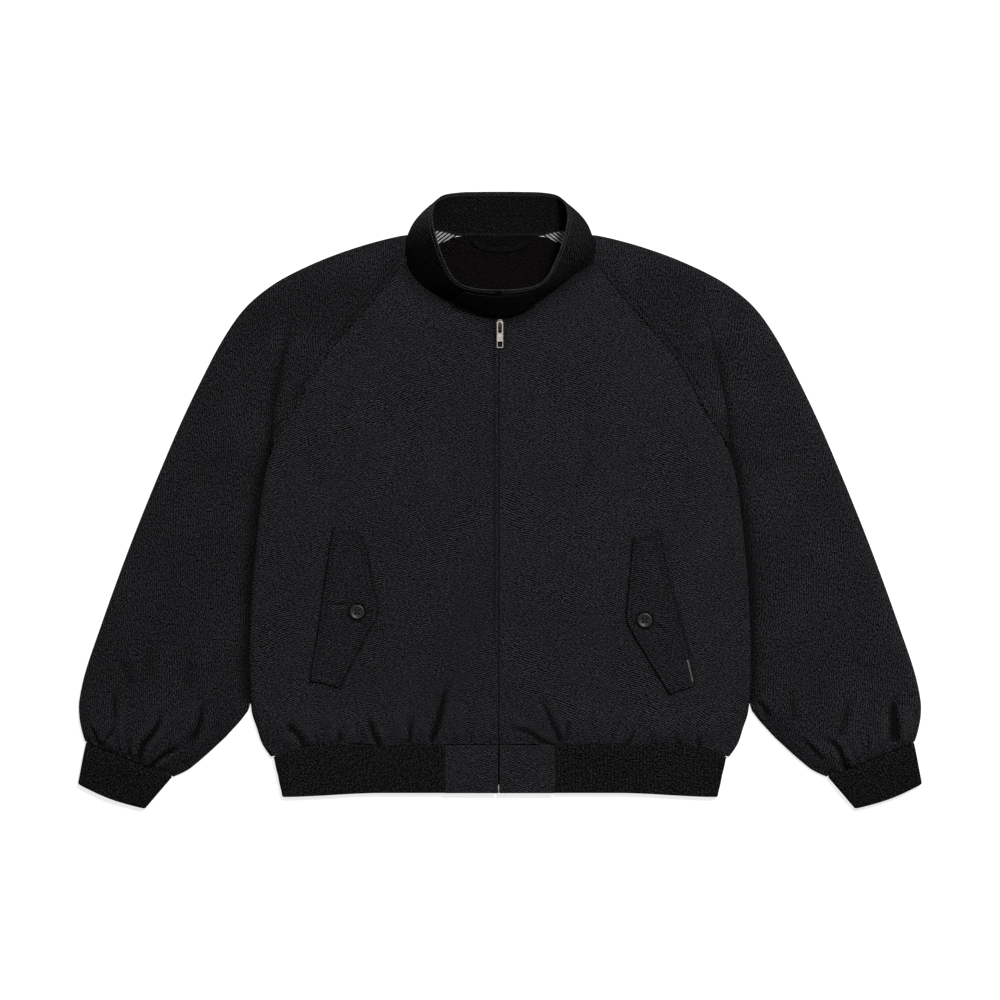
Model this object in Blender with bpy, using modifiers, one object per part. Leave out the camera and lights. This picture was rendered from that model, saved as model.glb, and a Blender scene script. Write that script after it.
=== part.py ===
"""Harrington jacket laid flat on its back.

+X is the wearer's left, +Y points to the collar, +Z is up off the surface it lies on.
Every table is in millimetres; points become metres when a mesh is made.
Lower layers are flat plates on the surface. Upper layers are shells that rise from them.
"""
import math
from collections import namedtuple

import bmesh
import bpy
import numpy as np
from mathutils import Vector

MM = 0.001
SIDES = {"left": 1, "right": -1}

# Driving sizes
gap = 0.3                 # between pieces that are sewn or lie on each other
raglan_gap = 0.24         # from each piece to the middle of a raglan seam
fold_gap = 0.9            # from the fold between body and sleeve to the sleeve's own fold
fork_y = -252.0           # below this the sleeve lies clear of the body
cloth = 1.5               # lined cloth
rib_knit = 2.0            # double rib knit
body_top = 12.0           # upper face of the fronts
sleeve_top = 11.0         # upper face of the sleeves
edge_lift = 2.2           # outer face of an upper layer where it meets the lower one
side_run = 12.0           # the fronts round over to the side seam in this width
sleeve_inner_run = 34.0   # a sleeve rises from its underarm fold in this width
sleeve_outer_run = 22.0   # and rounds over to its outer fold in this one
seam_top = 11.0           # upper face at the hem seam
cuff_seam_top = 9.6       # upper face at the cuff seam

# Folds and outlines of one half of the jacket
Point = namedtuple("Point", "x y")
Valley = namedtuple("Valley", "y x floor")          # floor: how high its lowest line lies
FrontRow = namedtuple("FrontRow", "centre_y seam share neck")
SleeveRow = namedtuple("SleeveRow", "inner_y outer_x outer_y neck puff gather")
CollarRow = namedtuple("CollarRow", "base_x base_y base_z top_x top_y top_z bulge")
Gather = namedtuple("Gather", "place width rise")
TapeRow = namedtuple("TapeRow", "y top")

raglan_seam = [Point(113.6, 287), Point(140, 252), Point(172, 215), Point(203, 180),
               Point(226, 145), Point(246, 108), Point(271, 70)]
seam_parts = 7            # straight stretches of the raglan seam
side_seam = [Point(271, 70), Point(284, 23), Point(294, -60), Point(299, -120), Point(301, -200),
             Point(298, -253), Point(291.5, -274), Point(285.5, -292), Point(275, -308.2)]
valley_rows = [Valley(230, 246, 12.0), Valley(200, 251, 11.0), Valley(160, 257, 8.0),
               Valley(110, 265, 4.4), Valley(70, 272, 2.2), Valley(23, 285, 2.2),
               Valley(-60, 295, 2.2), Valley(-120, 300, 2.2), Valley(-200, 302, 2.2),
               Valley(-252, 302, 2.2), Valley(-264, 311, 2.2), Valley(-284, 329.5, 2.2),
               Valley(-303, 350, 2.2), Valley(-313, 361.5, 2.2), Valley(-322, 372.5, 2.2),
               Valley(-327.5, 383, 2.2), Valley(-331.5, 393, 2.2)]

# The fronts, from neck to hem: where a row starts on the zip, the seam where it ends and the share
# of that seam, and how much of the neckline's bow it keeps.
front_rows = [FrontRow(217.7, "raglan", 0, 1.0), FrontRow(204, "raglan", 1 / 7, 0.7),
              FrontRow(189, "raglan", 2 / 7, 0.45), FrontRow(169, "raglan", 3 / 7, 0.25),
              FrontRow(144, "raglan", 4 / 7, 0.12), FrontRow(115, "raglan", 5 / 7, 0.04),
              FrontRow(83, "raglan", 6 / 7, 0.0), FrontRow(50, "raglan", 1, 0.0),
              FrontRow(6, "side", 0.13, 0.0), FrontRow(-52, "side", 0.31, 0.0),
              FrontRow(-120, "side", 0.49, 0.0), FrontRow(-185, "side", 0.655, 0.0),
              FrontRow(-235, "side", 0.79, 0.0), FrontRow(-258, "side", 0.86, 0.0),
              FrontRow(-275, "side", 0.915, 0.0), FrontRow(-286, "side", 0.962, 0.0),
              FrontRow(-292.5, "side", 1, 0.0)]

# The sleeves, from the raglan seam to the cuff: y on the underarm fold, the place on the outer
# fold, the share of the raglan seam's bow, the height over sleeve_top and of the gathers.
sleeve_rows = [SleeveRow(70, 116.2, 319.8, 1.0, 0.0, 0.0), SleeveRow(66, 182, 299.4, 0.62, 0.0, 0.0),
               SleeveRow(61, 234, 277.8, 0.34, 0.0, 0.0), SleeveRow(54, 273, 256.2, 0.15, 0.3, 0.0),
               SleeveRow(44, 305, 229, 0.05, 0.5, 0.0), SleeveRow(30, 330.5, 193, 0.0, 0.5, 0.0),
               SleeveRow(10, 354, 149, 0.0, 0.4, 0.0), SleeveRow(-20, 381, 93, 0.0, 0.2, 0.0),
               SleeveRow(-60, 408.5, 29, 0.0, 0.0, 0.0), SleeveRow(-105, 434.5, -35, 0.0, 0.0, 0.0),
               SleeveRow(-150, 458, -97, 0.0, 0.3, 0.0), SleeveRow(-195, 480, -159, 0.0, 0.8, 0.0),
               SleeveRow(-232, 496, -207, 0.0, 1.6, 0.0), SleeveRow(-262, 503.2, -241, 0.0, 3.0, 0.2),
               SleeveRow(-290, 503.2, -259, 0.0, 4.2, 0.6), SleeveRow(-310, 501, -272, 0.0, 4.0, 1.0),
               SleeveRow(-322, 498.6, -281.5, 0.0, 2.4, 1.0),
               SleeveRow(-330.9, 496.2, -289.2, 0.0, -1.4, 0.8)]

# Gathers, at a distance from the zip along the hem, or from the inner corner along the cuff seam
hem_gathers = [Gather(22, 15, 1.0), Gather(50, 17, 1.5), Gather(78, 14, 1.1), Gather(118, 22, 1.4),
               Gather(158, 19, 1.8), Gather(196, 22, 1.3), Gather(228, 15, 1.7), Gather(258, 17, 1.1)]
cuff_gathers = [Gather(14, 10, 1.6), Gather(31, 9, 1.2), Gather(47, 10, 2.0), Gather(63, 8, 1.5),
                Gather(78, 9, 2.2), Gather(92, 8, 1.6), Gather(104, 8, 1.2)]

# The stand collar, half way round from the back to the front
collar_rows = [CollarRow(0, 316, 0, 0, 370, 0, 0), CollarRow(30, 316.2, 0, 26, 369.8, 0, 0),
               CollarRow(58, 317, 0, 50, 369, 1, 0.6), CollarRow(84, 319.2, 0.4, 68.5, 365, 12, 4),
               CollarRow(100, 320.5, 2.2, 77, 355.5, 26, 7),
               CollarRow(111, 315, 6.2, 80.6, 340.2, 37, 7.5),
               CollarRow(114.6, 299, 9, 77.9, 320, 42, 5),
               CollarRow(112, 283.5, 10.3, 72.8, 302, 44.5, 3),
               CollarRow(103.5, 267.5, 10.5, 66.3, 284, 47, 2),
               CollarRow(89, 253.5, 10.5, 57.9, 266.6, 49, 2),
               CollarRow(69, 241.5, 10.5, 46, 255.1, 50.5, 2),
               CollarRow(46, 231, 10.5, 30.6, 250.5, 51, 2),
               CollarRow(22, 222, 10.5, 14.8, 249, 51, 2), CollarRow(0, 218, 10.5, 0, 248.6, 51, 2)]
collar_cloth = 1.2
collar_centre = Vector((0, 290, 0))   # the bulge of the collar points away from here
neck_raglan = 0.537                   # share of the way round where the raglan seam starts
neck_shoulder = 0.405                 # and where the shoulder's outer fold does
tab_reach = {"left": 0.155, "right": 0.19}      # collar tab, as shares to each side of the front
tab_rows = (0.16, 0.34, 0.68, 0.87)             # and of the collar's height
tab_thick = 1.6
collar_levels = (0, 0.34, 0.68, 1)              # rows of the collar's wall

# Hem and cuffs
hem_half = Point(271.5, 261)          # half width at the seam and at the edge
hem_edge_y = -351.0
hem_corner_drop = 4.8                 # the edge hangs this much lower at the sides
hem_seam_y = -293.0
hem_seam_drop = 16.0
hem_top = Point(seam_top, 9.4)        # upper face at the seam and at the edge
block_width = 66.0
rib_rise = 0.9
hem_rib_pitch = 4.3
hem_under = (1, 0.96, 0.92, 0.87, 0.82, 0.77, 0.5, 0.2)     # points across the under side
cuff_corners = {"inner_seam": Point(393, -332), "outer_seam": Point(496.4, -290.4),
                "inner_edge": Point(425.4, -370), "outer_edge": Point(505.8, -340.2)}
cuff_edge_bow = 3.4
cuff_ribs = 24
cuff_tops = (cuff_seam_top, 10.2, 8.8)

# Zip
closure_x = -1.5                      # line where the fronts meet
closure_half = 0.5
slider_y = (203.0, 216.0)
slider_half = 4.3
bridge_half = 1.4
tape_thick = 1.0
tape_rows = [TapeRow(215.5, 10.2), TapeRow(198, 10.2), TapeRow(180, 10.2), TapeRow(-272, 10.2),
             TapeRow(-293, 8.6), TapeRow(-348, 7.0)]
tape_x = (2.0, 15.0)
pull_axis = Point(212.2, 13.7)        # y and z of the pull tab's hinge
pull_length = 31.4
pull_half = 4.2
pull_thick = 1.2
pull_bar = 1.2

# Pocket flaps, corner by corner from the top of the sewn edge, for each side
flap_corners = {
    "right": [Point(-198.6, -34.2), Point(-173, -37), Point(-160.5, -60), Point(-147, -135),
              Point(-192.6, -225), Point(-227.4, -216.6)],
    "left": [Point(190.2, -38), Point(159.5, -46.5), Point(151.8, -140), Point(156.5, -148),
             Point(203.4, -232.2), Point(233.4, -222)]}
flap_thick = 1.8
button_places = {"right": Point(-171, -134), "left": Point(173, -144)}
button_radius = 9.0
button_thick = 2.8


class Path:
    """A smooth curve through a few points, read by its share of the length."""

    def __init__(self, points):
        self.points = np.array(points, float)
        steps = np.linalg.norm(np.diff(self.points, axis=0), axis=1)
        self.stops = np.concatenate([[0.0], np.cumsum(steps)])
        self.length = self.stops[-1]

    def slope(self, i):
        before = max(i - 1, 0)
        after = min(i + 1, len(self.points) - 1)
        return (self.points[after] - self.points[before]) / (self.stops[after] - self.stops[before])

    def at(self, share):
        place = min(max(share, 0.0), 1.0) * self.length
        i = int(np.searchsorted(self.stops[1:-1], place))
        span = self.stops[i + 1] - self.stops[i]
        t = (place - self.stops[i]) / span
        start = (2 * t**3 - 3 * t**2 + 1) * self.points[i]
        end = (3 * t**2 - 2 * t**3) * self.points[i + 1]
        leave = (t**3 - 2 * t**2 + t) * span * self.slope(i)
        arrive = (t**3 - t**2) * span * self.slope(i + 1)
        return start + end + leave + arrive


def smooth(value):
    """0 below 0, 1 above 1, an even S between."""
    value = min(max(value, 0.0), 1.0)
    return value * value * (3 - 2 * value)


def round_over(distance, run):
    """Quarter ellipse: 0 at the fold, 1 from run onward, upright at the fold."""
    left = 1 - min(max(distance / run, 0.0), 1.0)
    return math.sqrt(1 - left * left)


def fold_steps(run, count):
    """Distances from a fold that space points evenly round its curve."""
    return [run * (1 - math.cos(math.pi / 2 * i / count)) for i in range(count + 1)]


def valley_at(y):
    """x and floor of the fold between body and sleeve at a height y."""
    ys = [-row.y for row in valley_rows]
    x = float(np.interp(-y, ys, [row.x for row in valley_rows]))
    floor = float(np.interp(-y, ys, [row.floor for row in valley_rows]))
    return x, floor


def gather_wave(place, gathers):
    """Height of the gathers at a place along a seam."""
    rise = 0.0
    for fold in gathers:
        rise += fold.rise * math.exp(-((place - fold.place) / (0.42 * fold.width)) ** 2)
    return rise


def front_height(x, y):
    """Upper face of the fronts, and of the sleeve up to its fold."""
    edge_x, floor = valley_at(max(y, fork_y))
    if y < fork_y:
        edge_x = float(np.interp(-y, [-point.y for point in side_seam], [point.x for point in side_seam]))
    rise = round_over(edge_x - x, side_run)
    top = body_top
    above_seam = y - hem_seam_y
    if above_seam < 50:
        puff = 2.2 * smooth((50 - above_seam) / 24) * smooth((edge_x - x) / 40)
        sink = (body_top + 2.2 - seam_top) * smooth(1 - above_seam / 16)
        waves = gather_wave(x, hem_gathers) * smooth((46 - above_seam) / 30)
        top += puff - sink + waves * (0.35 + 0.65 * smooth(above_seam / 8)) * smooth((edge_x - x) / 20)
    return floor + (top - floor) * rise


def sleeve_height(x, y, row, inner, outer, along_seam):
    """Upper face of a sleeve, from the distances to its inner and outer folds."""
    edge_x, floor = valley_at(y)
    if x < edge_x:
        height = floor + (body_top - floor) * round_over(edge_x - x + 1.0, side_run)
    else:
        top = sleeve_top + row.puff
        away = inner if y < -240 else x - edge_x
        height = floor + (top - floor) * (0.45 * round_over(away, 7) + 0.55 * smooth(away / sleeve_inner_run))
        height += row.gather * gather_wave(along_seam, cuff_gathers) * smooth(away / 12)
    return edge_lift + (height - edge_lift) * round_over(outer, sleeve_outer_run)


def collar_path():
    return Path([tuple(row) for row in collar_rows])


def collar_point(share, up, out):
    """A point of the collar's outer face: share runs from -1 to 1 about the back, up from 0 to 1."""
    side = 1 if share >= 0 else -1
    row = CollarRow(*collar_path().at(abs(share)))
    base = Vector((row.base_x, row.base_y, max(row.base_z, 0)))
    top = Vector((row.top_x, row.top_y, max(row.top_z, 0)))
    point = base.lerp(top, up)
    away = point - collar_centre
    away.z = 0
    point += away.normalized() * (row.bulge * math.sin(math.pi * up))
    point = Vector((side * point.x, point.y, point.z))
    if out:
        step = 0.004
        lower = 0.02
        round_way = collar_point(share + step, up, 0) - collar_point(share - step, up, 0)
        up_way = collar_point(share, min(up + lower, 1), 0) - collar_point(share, max(up - lower, 0), 0)
        point += round_way.cross(up_way).normalized() * -out
    return point


def neck_line(share, out):
    """The neck seam seen from above, moved outward."""
    here = collar_point(share, 0, 0)
    ahead = collar_point(min(share + 0.003, 1), 0, 0) - collar_point(share - 0.003, 0, 0)
    away = Vector((ahead.y, -ahead.x, 0)).normalized()
    if away.dot(here - collar_centre) < 0:
        away = -away
    return here + away * out


def offset_line(path, share, out):
    """A point of a plane path moved to its left (as it runs) by out."""
    here = path.at(share)
    ahead = path.at(min(share + 0.004, 1)) - path.at(max(share - 0.004, 0))
    ahead /= np.linalg.norm(ahead)
    return here + out * np.array((-ahead[1], ahead[0]))


# Meshes

def paint(name, colour, roughness, metallic=0.0):
    material = bpy.data.materials.new(name)
    material.use_nodes = True
    shader = material.node_tree.nodes["Principled BSDF"]
    shader.inputs["Base Color"].default_value = (*colour, 1)
    shader.inputs["Roughness"].default_value = roughness
    shader.inputs["Metallic"].default_value = metallic
    return material


def add_object(name, mesh, material, collection, smooth_faces=True):
    """A named object with its material; round faces are shaded smooth."""
    item = bpy.data.objects.new(name, mesh)
    mesh.materials.append(material)
    collection.objects.link(item)
    if smooth_faces:
        mesh.shade_smooth()
    return item


def grid_mesh(name, rows, wrap=False):
    """Quads between rows of points in millimetres."""
    mesh = bpy.data.meshes.new(name)
    shape = bmesh.new()
    verts = [[shape.verts.new(Vector(point) * MM) for point in row] for row in rows]
    count = len(rows[0])
    for lower, upper in zip(verts, verts[1:]):
        for i in range(count if wrap else count - 1):
            j = (i + 1) % count
            shape.faces.new((lower[i], lower[j], upper[j], upper[i]))
    shape.to_mesh(mesh)
    shape.free()
    return mesh


def cloth_object(name, rows, wall, material, collection):
    """A cloth wall: the outer face given by rows, thickened inward."""
    item = add_object(name, grid_mesh(name, rows), material, collection)
    solid = item.modifiers.new("Thickness", "SOLIDIFY")
    solid.thickness = wall * MM
    solid.offset = -1
    return item


def rib_object(name, outer, inner, wrap, material, collection):
    """A knit wall between a ribbed outer face and a plain inner one."""
    mesh = bpy.data.meshes.new(name)
    shape = bmesh.new()
    skins = []
    for rows in (outer, inner):
        skins.append([[shape.verts.new(Vector(point) * MM) for point in row] for row in rows])
    count = len(outer[0])
    spans = range(count if wrap else count - 1)
    for skin, flip in zip(skins, (False, True)):
        for lower, upper in zip(skin, skin[1:]):
            for i in spans:
                j = (i + 1) % count
                corners = (lower[i], lower[j], upper[j], upper[i])
                shape.faces.new(corners[::-1] if flip else corners)
    for end, flip in ((0, True), (-1, False)):
        for i in spans:
            j = (i + 1) % count
            corners = (skins[0][end][i], skins[0][end][j], skins[1][end][j], skins[1][end][i])
            shape.faces.new(corners[::-1] if flip else corners)
    if not wrap:
        for column, flip in ((0, False), (-1, True)):
            for k in range(len(outer) - 1):
                corners = (skins[0][k][column], skins[0][k + 1][column],
                           skins[1][k + 1][column], skins[1][k][column])
                shape.faces.new(corners[::-1] if flip else corners)
    bmesh.ops.recalc_face_normals(shape, faces=shape.faces)
    shape.to_mesh(mesh)
    shape.free()
    return add_object(name, mesh, material, collection)


def plate_object(name, outline, low, high, material, collection):
    """A flat piece: a filled outline in millimetres between two heights."""
    curve = bpy.data.curves.new(name, "CURVE")
    curve.dimensions = "2D"
    curve.fill_mode = "BOTH"
    curve.extrude = (high - low) / 2 * MM
    line = curve.splines.new("POLY")
    line.points.add(len(outline) - 1)
    for spot, point in zip(line.points, outline):
        spot.co = (point[0] * MM, point[1] * MM, 0, 1)
    line.use_cyclic_u = True
    curve.materials.append(material)
    item = bpy.data.objects.new(name, curve)
    item.location.z = (low + high) / 2 * MM
    collection.objects.link(item)
    return item


def box_object(name, low, high, material, collection):
    """A plain block between two corners in millimetres."""
    low = Vector(low) * MM
    high = Vector(high) * MM
    mesh = bpy.data.meshes.new(name)
    shape = bmesh.new()
    bmesh.ops.create_cube(shape, size=1)
    for vert in shape.verts:
        vert.co = Vector([vert.co[i] * (high[i] - low[i]) for i in range(3)])
    shape.to_mesh(mesh)
    shape.free()
    item = add_object(name, mesh, material, collection, smooth_faces=False)
    item.location = (low + high) / 2
    return item


def round_corners(corners, radius, steps=3):
    """The outline with each corner cut by a small arc."""
    line = []
    for i, corner in enumerate(corners):
        here = Vector(corner)
        before = (Vector(corners[i - 1]) - here).normalized()
        after = (Vector(corners[(i + 1) % len(corners)]) - here).normalized()
        for k in range(steps + 1):
            t = k / steps
            line.append(here + before * radius * (1 - t) ** 2 + after * radius * t ** 2)
    return line


def prism_object(name, line, way, material, collection):
    """A closed prism in millimetres: a flat outline pushed along a way."""
    mesh = bpy.data.meshes.new(name)
    shape = bmesh.new()
    verts = [shape.verts.new(Vector(point) * MM) for point in line]
    face = shape.faces.new(verts)
    pushed = bmesh.ops.extrude_face_region(shape, geom=[face])
    moved = [item for item in pushed["geom"] if isinstance(item, bmesh.types.BMVert)]
    bmesh.ops.translate(shape, verts=moved, vec=Vector(way) * MM)
    bmesh.ops.recalc_face_normals(shape, faces=shape.faces)
    shape.to_mesh(mesh)
    shape.free()
    return add_object(name, mesh, material, collection, smooth_faces=False)


def combine(item, tool, operation, cutters):
    """Joins a tool's shape to an item, or takes it away, and puts the tool with the cutters."""
    for home in list(tool.users_collection):
        home.objects.unlink(tool)
    cutters.objects.link(tool)
    tool.hide_render = True
    tool.display_type = "WIRE"
    step = item.modifiers.new(operation.title(), "BOOLEAN")
    step.operation = operation
    step.solver = "EXACT"
    step.object = tool


# Pieces

def closure_shift(y):
    """The closure lies a little to the wearer's right, and runs to the middle under the slider."""
    return closure_x * (1 - smooth((y - 180) / 18))


def front_edge_x(y, side):
    """The front edge: straight down the closure, opened round the slider at the top."""
    opening = (slider_half + 1.2 - closure_half) * smooth((y - 195) / 8)
    return side * (closure_half + opening) + closure_shift(y)


def hem_drop_at(x):
    """The hem seam's fall toward the side, as a share of its drop."""
    return smooth((abs(x) - 205) / 75) ** 2


def hem_seam_at(x):
    return hem_seam_y - hem_seam_drop * hem_drop_at(x)


def raglan_at(share, out):
    """A point of the raglan seam, which runs straight between the rows that meet it."""
    path = Path(raglan_seam)
    place = share * seam_parts
    part = min(int(place), seam_parts - 1)
    start = offset_line(path, part / seam_parts, out)
    end = offset_line(path, (part + 1) / seam_parts, out)
    return start + (end - start) * (place - part)


def front_grid(side):
    """Rows of a front's upper face, from neck to hem."""
    side_path = Path(side_seam)
    middle = 21
    folds = fold_steps(side_run, 3)[:0:-1]
    rows = []
    for row in front_rows:
        outer = side_path.at(row.share) if row.seam == "side" else raglan_at(row.share, -raglan_gap)
        centre = np.array((front_edge_x(row.centre_y, side) * side, row.centre_y))
        line = outer - centre
        length = np.linalg.norm(line)
        places = [i / middle * (length - side_run) for i in range(middle)]
        places += [length - distance for distance in folds] + [length]
        points = []
        for place in places:
            share = place / length
            x, y = centre + line * share
            y += line[1] * (hem_drop_at(x) - share) * smooth((-185 - row.centre_y) / 100)
            if row.neck:
                first = np.array((front_edge_x(front_rows[0].centre_y, side) * side, front_rows[0].centre_y))
                straight = first + (raglan_at(0, -raglan_gap) - first) * share
                curved = neck_line(1 - (1 - neck_raglan) * share, gap)
                if share < 0.08:
                    curved.x = max(curved.x, straight[0])
                x += row.neck * (curved.x - straight[0])
                y += row.neck * (curved.y - straight[1])
            points.append((side * x, y, front_height(x, y)))
        rows.append(points)
    return rows if side < 0 else [row[::-1] for row in rows]


def sleeve_first_line(count_seam, count_neck):
    """The open end of a sleeve: up the raglan seam from the armpit, then along the neck."""
    line = [raglan_at(1 - i / count_seam, raglan_gap) for i in range(count_seam + 1)]
    for i in range(1, count_neck + 1):
        share = neck_raglan + (neck_shoulder - neck_raglan) * i / count_neck
        point = neck_line(share, gap)
        line.append(np.array((point.x, point.y)))
    return line


def sleeve_grid(side):
    """Rows of a sleeve's upper face, from the raglan seam to the cuff."""
    inner_steps = fold_steps(7, 2)
    outer_steps = fold_steps(sleeve_outer_run, 4)
    middle = 2 * seam_parts - len(inner_steps) + 1
    first = sleeve_first_line(len(inner_steps) - 1 + middle, len(outer_steps) - 1)
    armpit = first[0]
    corner = first[-1]
    rows = []
    for row in sleeve_rows:
        inner = np.array((valley_at(row.inner_y)[0] + fold_gap, row.inner_y))
        outer = np.array((row.outer_x, row.outer_y))
        if row is sleeve_rows[0]:
            inner = armpit
            outer = corner
        line = outer - inner
        length = np.linalg.norm(line)
        span = length - inner_steps[-1] - outer_steps[-1]
        places = inner_steps[:-1] + [inner_steps[-1] + span * i / middle for i in range(middle)]
        places += [length - step for step in outer_steps[::-1]]
        points = []
        for i, place in enumerate(places):
            share = i / (len(places) - 1)
            x, y = inner + line * (place / length)
            if row.neck:
                straight = armpit + (corner - armpit) * share
                bow = (first[i] - straight) * row.neck
                along = armpit + (corner - armpit) * (place / length)
                x, y = np.array((x, y)) + bow + (straight - along) * row.neck
            left = length - place
            height = sleeve_height(x, y, row, place, left, place)
            points.append((side * x, y, height))
        rows.append(points)
    return rows if side > 0 else [row[::-1] for row in rows]


def outer_fold():
    return Path([(row.outer_x, row.outer_y) for row in sleeve_rows])


def back_outline():
    """The back, from the neck round one half."""
    half = [(x, 316 - gap) for x in (0, 30, 60)]
    half += [(85, 316.6), (97, 316.6)]
    raglan = Path([(103, 314.5)] + raglan_seam[1:])
    half += [tuple(offset_line(raglan, i / 10, -gap / 2)) for i in range(11)]
    seam = Path(side_seam)
    half += [tuple(seam.at(i / 12)) for i in range(1, 13)]
    flat_half = hem_half[0] - hem_top[0] / 2
    half += [(share * flat_half, hem_seam_at(share * flat_half) + gap) for share in hem_under]
    return half


def make_back(looks, home):
    half = back_outline()
    mirrored = [(-x, y) for x, y in half[:0:-1]]
    plate_object("back_panel", half + mirrored, 0, cloth, looks["cloth"], home)


def make_fronts(looks, home):
    for name, side in SIDES.items():
        cloth_object(f"front_{name}", front_grid(side), cloth, looks["cloth"], home)


def make_sleeves(looks, home):
    raglan = Path([(103, 314.5)] + raglan_seam[1:])
    fold = outer_fold()
    for name, side in SIDES.items():
        cloth_object(f"sleeve_front_{name}", sleeve_grid(side), cloth, looks["cloth"], home)
        outline = [(112, 320.6), (104, 318.4)]
        outline += [tuple(offset_line(raglan, i / 10, gap / 2)) for i in range(1, 11)]
        outline += [(valley_at(y)[0] + fold_gap, y) for y in (40, 0, -60, -130, -200, -252, -264, -284, -303)]
        outline += [(valley_at(y)[0] + fold_gap, y) for y in (-313, -322, -327.5, -331.3)]
        outline += [tuple(fold.at(1 - i / 26)) for i in range(27)]
        outline = [(side * x, y) for x, y in outline]
        plate_object(f"sleeve_back_{name}", outline, 0, cloth, looks["cloth"], home)


def rib_offsets(start, end, ribs):
    """Places across a ribbed stretch, each with its rise: low, high, low and so on."""
    return [(start + (end - start) * i / (2 * ribs), rib_rise * (i % 2)) for i in range(2 * ribs + 1)]


def hem_section(row):
    """One section of the hem band, right front block round the back to the left one."""
    half = hem_half[row]
    top = hem_top[row]
    fold = top / 2
    start = block_width + gap
    ribs = round((hem_half[1] - start) / hem_rib_pitch)
    half_loop = []
    for x, rise in rib_offsets(start, half - fold, ribs):
        half_loop.append((x, top + rise, 0.0, 1.0))
    for i in range(1, 5):
        angle = math.pi / 2 - math.pi * i / 5
        away = (math.cos(angle), math.sin(angle))
        half_loop.append((half - fold + fold * away[0], fold + fold * away[1], *away))
    for share in hem_under:
        half_loop.append((share * (half - fold), 0.0, 0.0, -1.0))
    return half_loop


def hem_point_y(x, row):
    if row == 0:
        return hem_seam_at(x)
    return hem_edge_y - hem_corner_drop * smooth((abs(x) - 140) / 121)


def make_hem(looks, home):
    outer = []
    inner = []
    for row in (0, 1):
        half = hem_section(row)
        plain_top = hem_top[row]
        outer_row = []
        inner_row = []
        for x, z, out_x, out_z in half:
            y = hem_point_y(x, row)
            plain = min(z, plain_top)
            outer_row.append((x, y, z))
            inner_row.append((x - rib_knit * out_x, y, plain - rib_knit * out_z))
        outer.append(outer_row + [(-x, y, z) for x, y, z in outer_row[::-1]])
        inner.append(inner_row + [(-x, y, z) for x, y, z in inner_row[::-1]])
    rib_object("hem_rib", outer, inner, False, looks["rib"], home)
    for name, side in SIDES.items():
        rows = []
        for y, top in ((hem_seam_y, seam_top), (hem_seam_y - 4, seam_top + 0.1), (hem_edge_y, hem_top[1])):
            xs = [closure_x * side + closure_half, 12, 30, 48, block_width]
            if y != hem_seam_y:
                xs[0] = closure_x * side + closure_half + 0.6
            points = [(side * x, y, top) for x in xs]
            rows.append(points if side < 0 else points[::-1])
        cloth_object(f"hem_block_{name}", rows, rib_knit, looks["cloth"], home)


def cuff_section(row, t):
    """One section across a cuff: outer and inner points, with t from seam to edge."""
    inner_end = Vector(cuff_corners["inner_seam"]).lerp(Vector(cuff_corners["inner_edge"]), t)
    outer_end = Vector(cuff_corners["outer_seam"]).lerp(Vector(cuff_corners["outer_edge"]), t)
    across = outer_end - inner_end
    width = across.length
    along = Vector((across.y, -across.x)).normalized()
    top = cuff_tops[row]
    fold = top / 2
    section = []
    for place, rise in rib_offsets(fold, width - fold, cuff_ribs):
        section.append((place, top + rise, 0.0, 1.0))
    for i in range(1, 4):
        angle = math.pi / 2 - math.pi * i / 4
        section.append((width - fold + fold * math.cos(angle), fold + fold * math.sin(angle),
                        math.cos(angle), math.sin(angle)))
    for share in (1, 0.66, 0.33, 0):
        section.append((fold + (width - 2 * fold) * share, 0.0, 0.0, -1.0))
    for i in range(1, 4):
        angle = -math.pi / 2 - math.pi * i / 4
        section.append((fold + fold * math.cos(angle), fold + fold * math.sin(angle),
                        math.cos(angle), math.sin(angle)))
    outer = []
    inner = []
    for place, z, out_x, out_z in section:
        bow = cuff_edge_bow * math.sin(math.pi * place / width) * t ** 3
        spot = inner_end + across * (place / width) + along * bow
        inside = inner_end + across * ((place - rib_knit * out_x) / width) + along * bow
        outer.append((spot.x, spot.y, z))
        inner.append((inside.x, inside.y, min(z, top) - rib_knit * out_z))
    return outer, inner


def make_cuffs(looks, home):
    for name, side in SIDES.items():
        outer = []
        inner = []
        for row, t in enumerate((0.0, 0.4, 1.0)):
            outer_row, inner_row = cuff_section(row, t)
            outer.append([(side * x, y, z) for x, y, z in outer_row])
            inner.append([(side * x, y, z) for x, y, z in inner_row])
        rib_object(f"cuff_{name}", outer, inner, True, looks["rib"], home)


def collar_shares(first, last, count):
    return [first + (last - first) * i / count for i in range(count + 1)]


def make_collar(looks, home):
    ring = collar_shares(0.996, -0.996, 46)
    outer = [[collar_point(share, up, 0) for share in ring] for up in collar_levels]
    cloth_object("collar_outer", outer, collar_cloth, looks["cloth"], home)
    inset = -(collar_cloth + 1.4 * gap)
    inner = [[collar_point(share, up, inset) for share in ring] for up in (0.02, 0.34, 0.68, 0.985)]
    cloth_object("collar_inner", inner, 1.0, looks["cloth"], home)
    tab = [share for share in ring if share < tab_reach["right"] - 1]
    tab += [share for share in ring if share > 1 - tab_reach["left"]]
    out = gap + tab_thick
    rows = [[collar_point(share, up, out) for share in tab] for up in tab_rows]
    cloth_object("collar_tab", rows, tab_thick, looks["cloth"], home)


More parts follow.
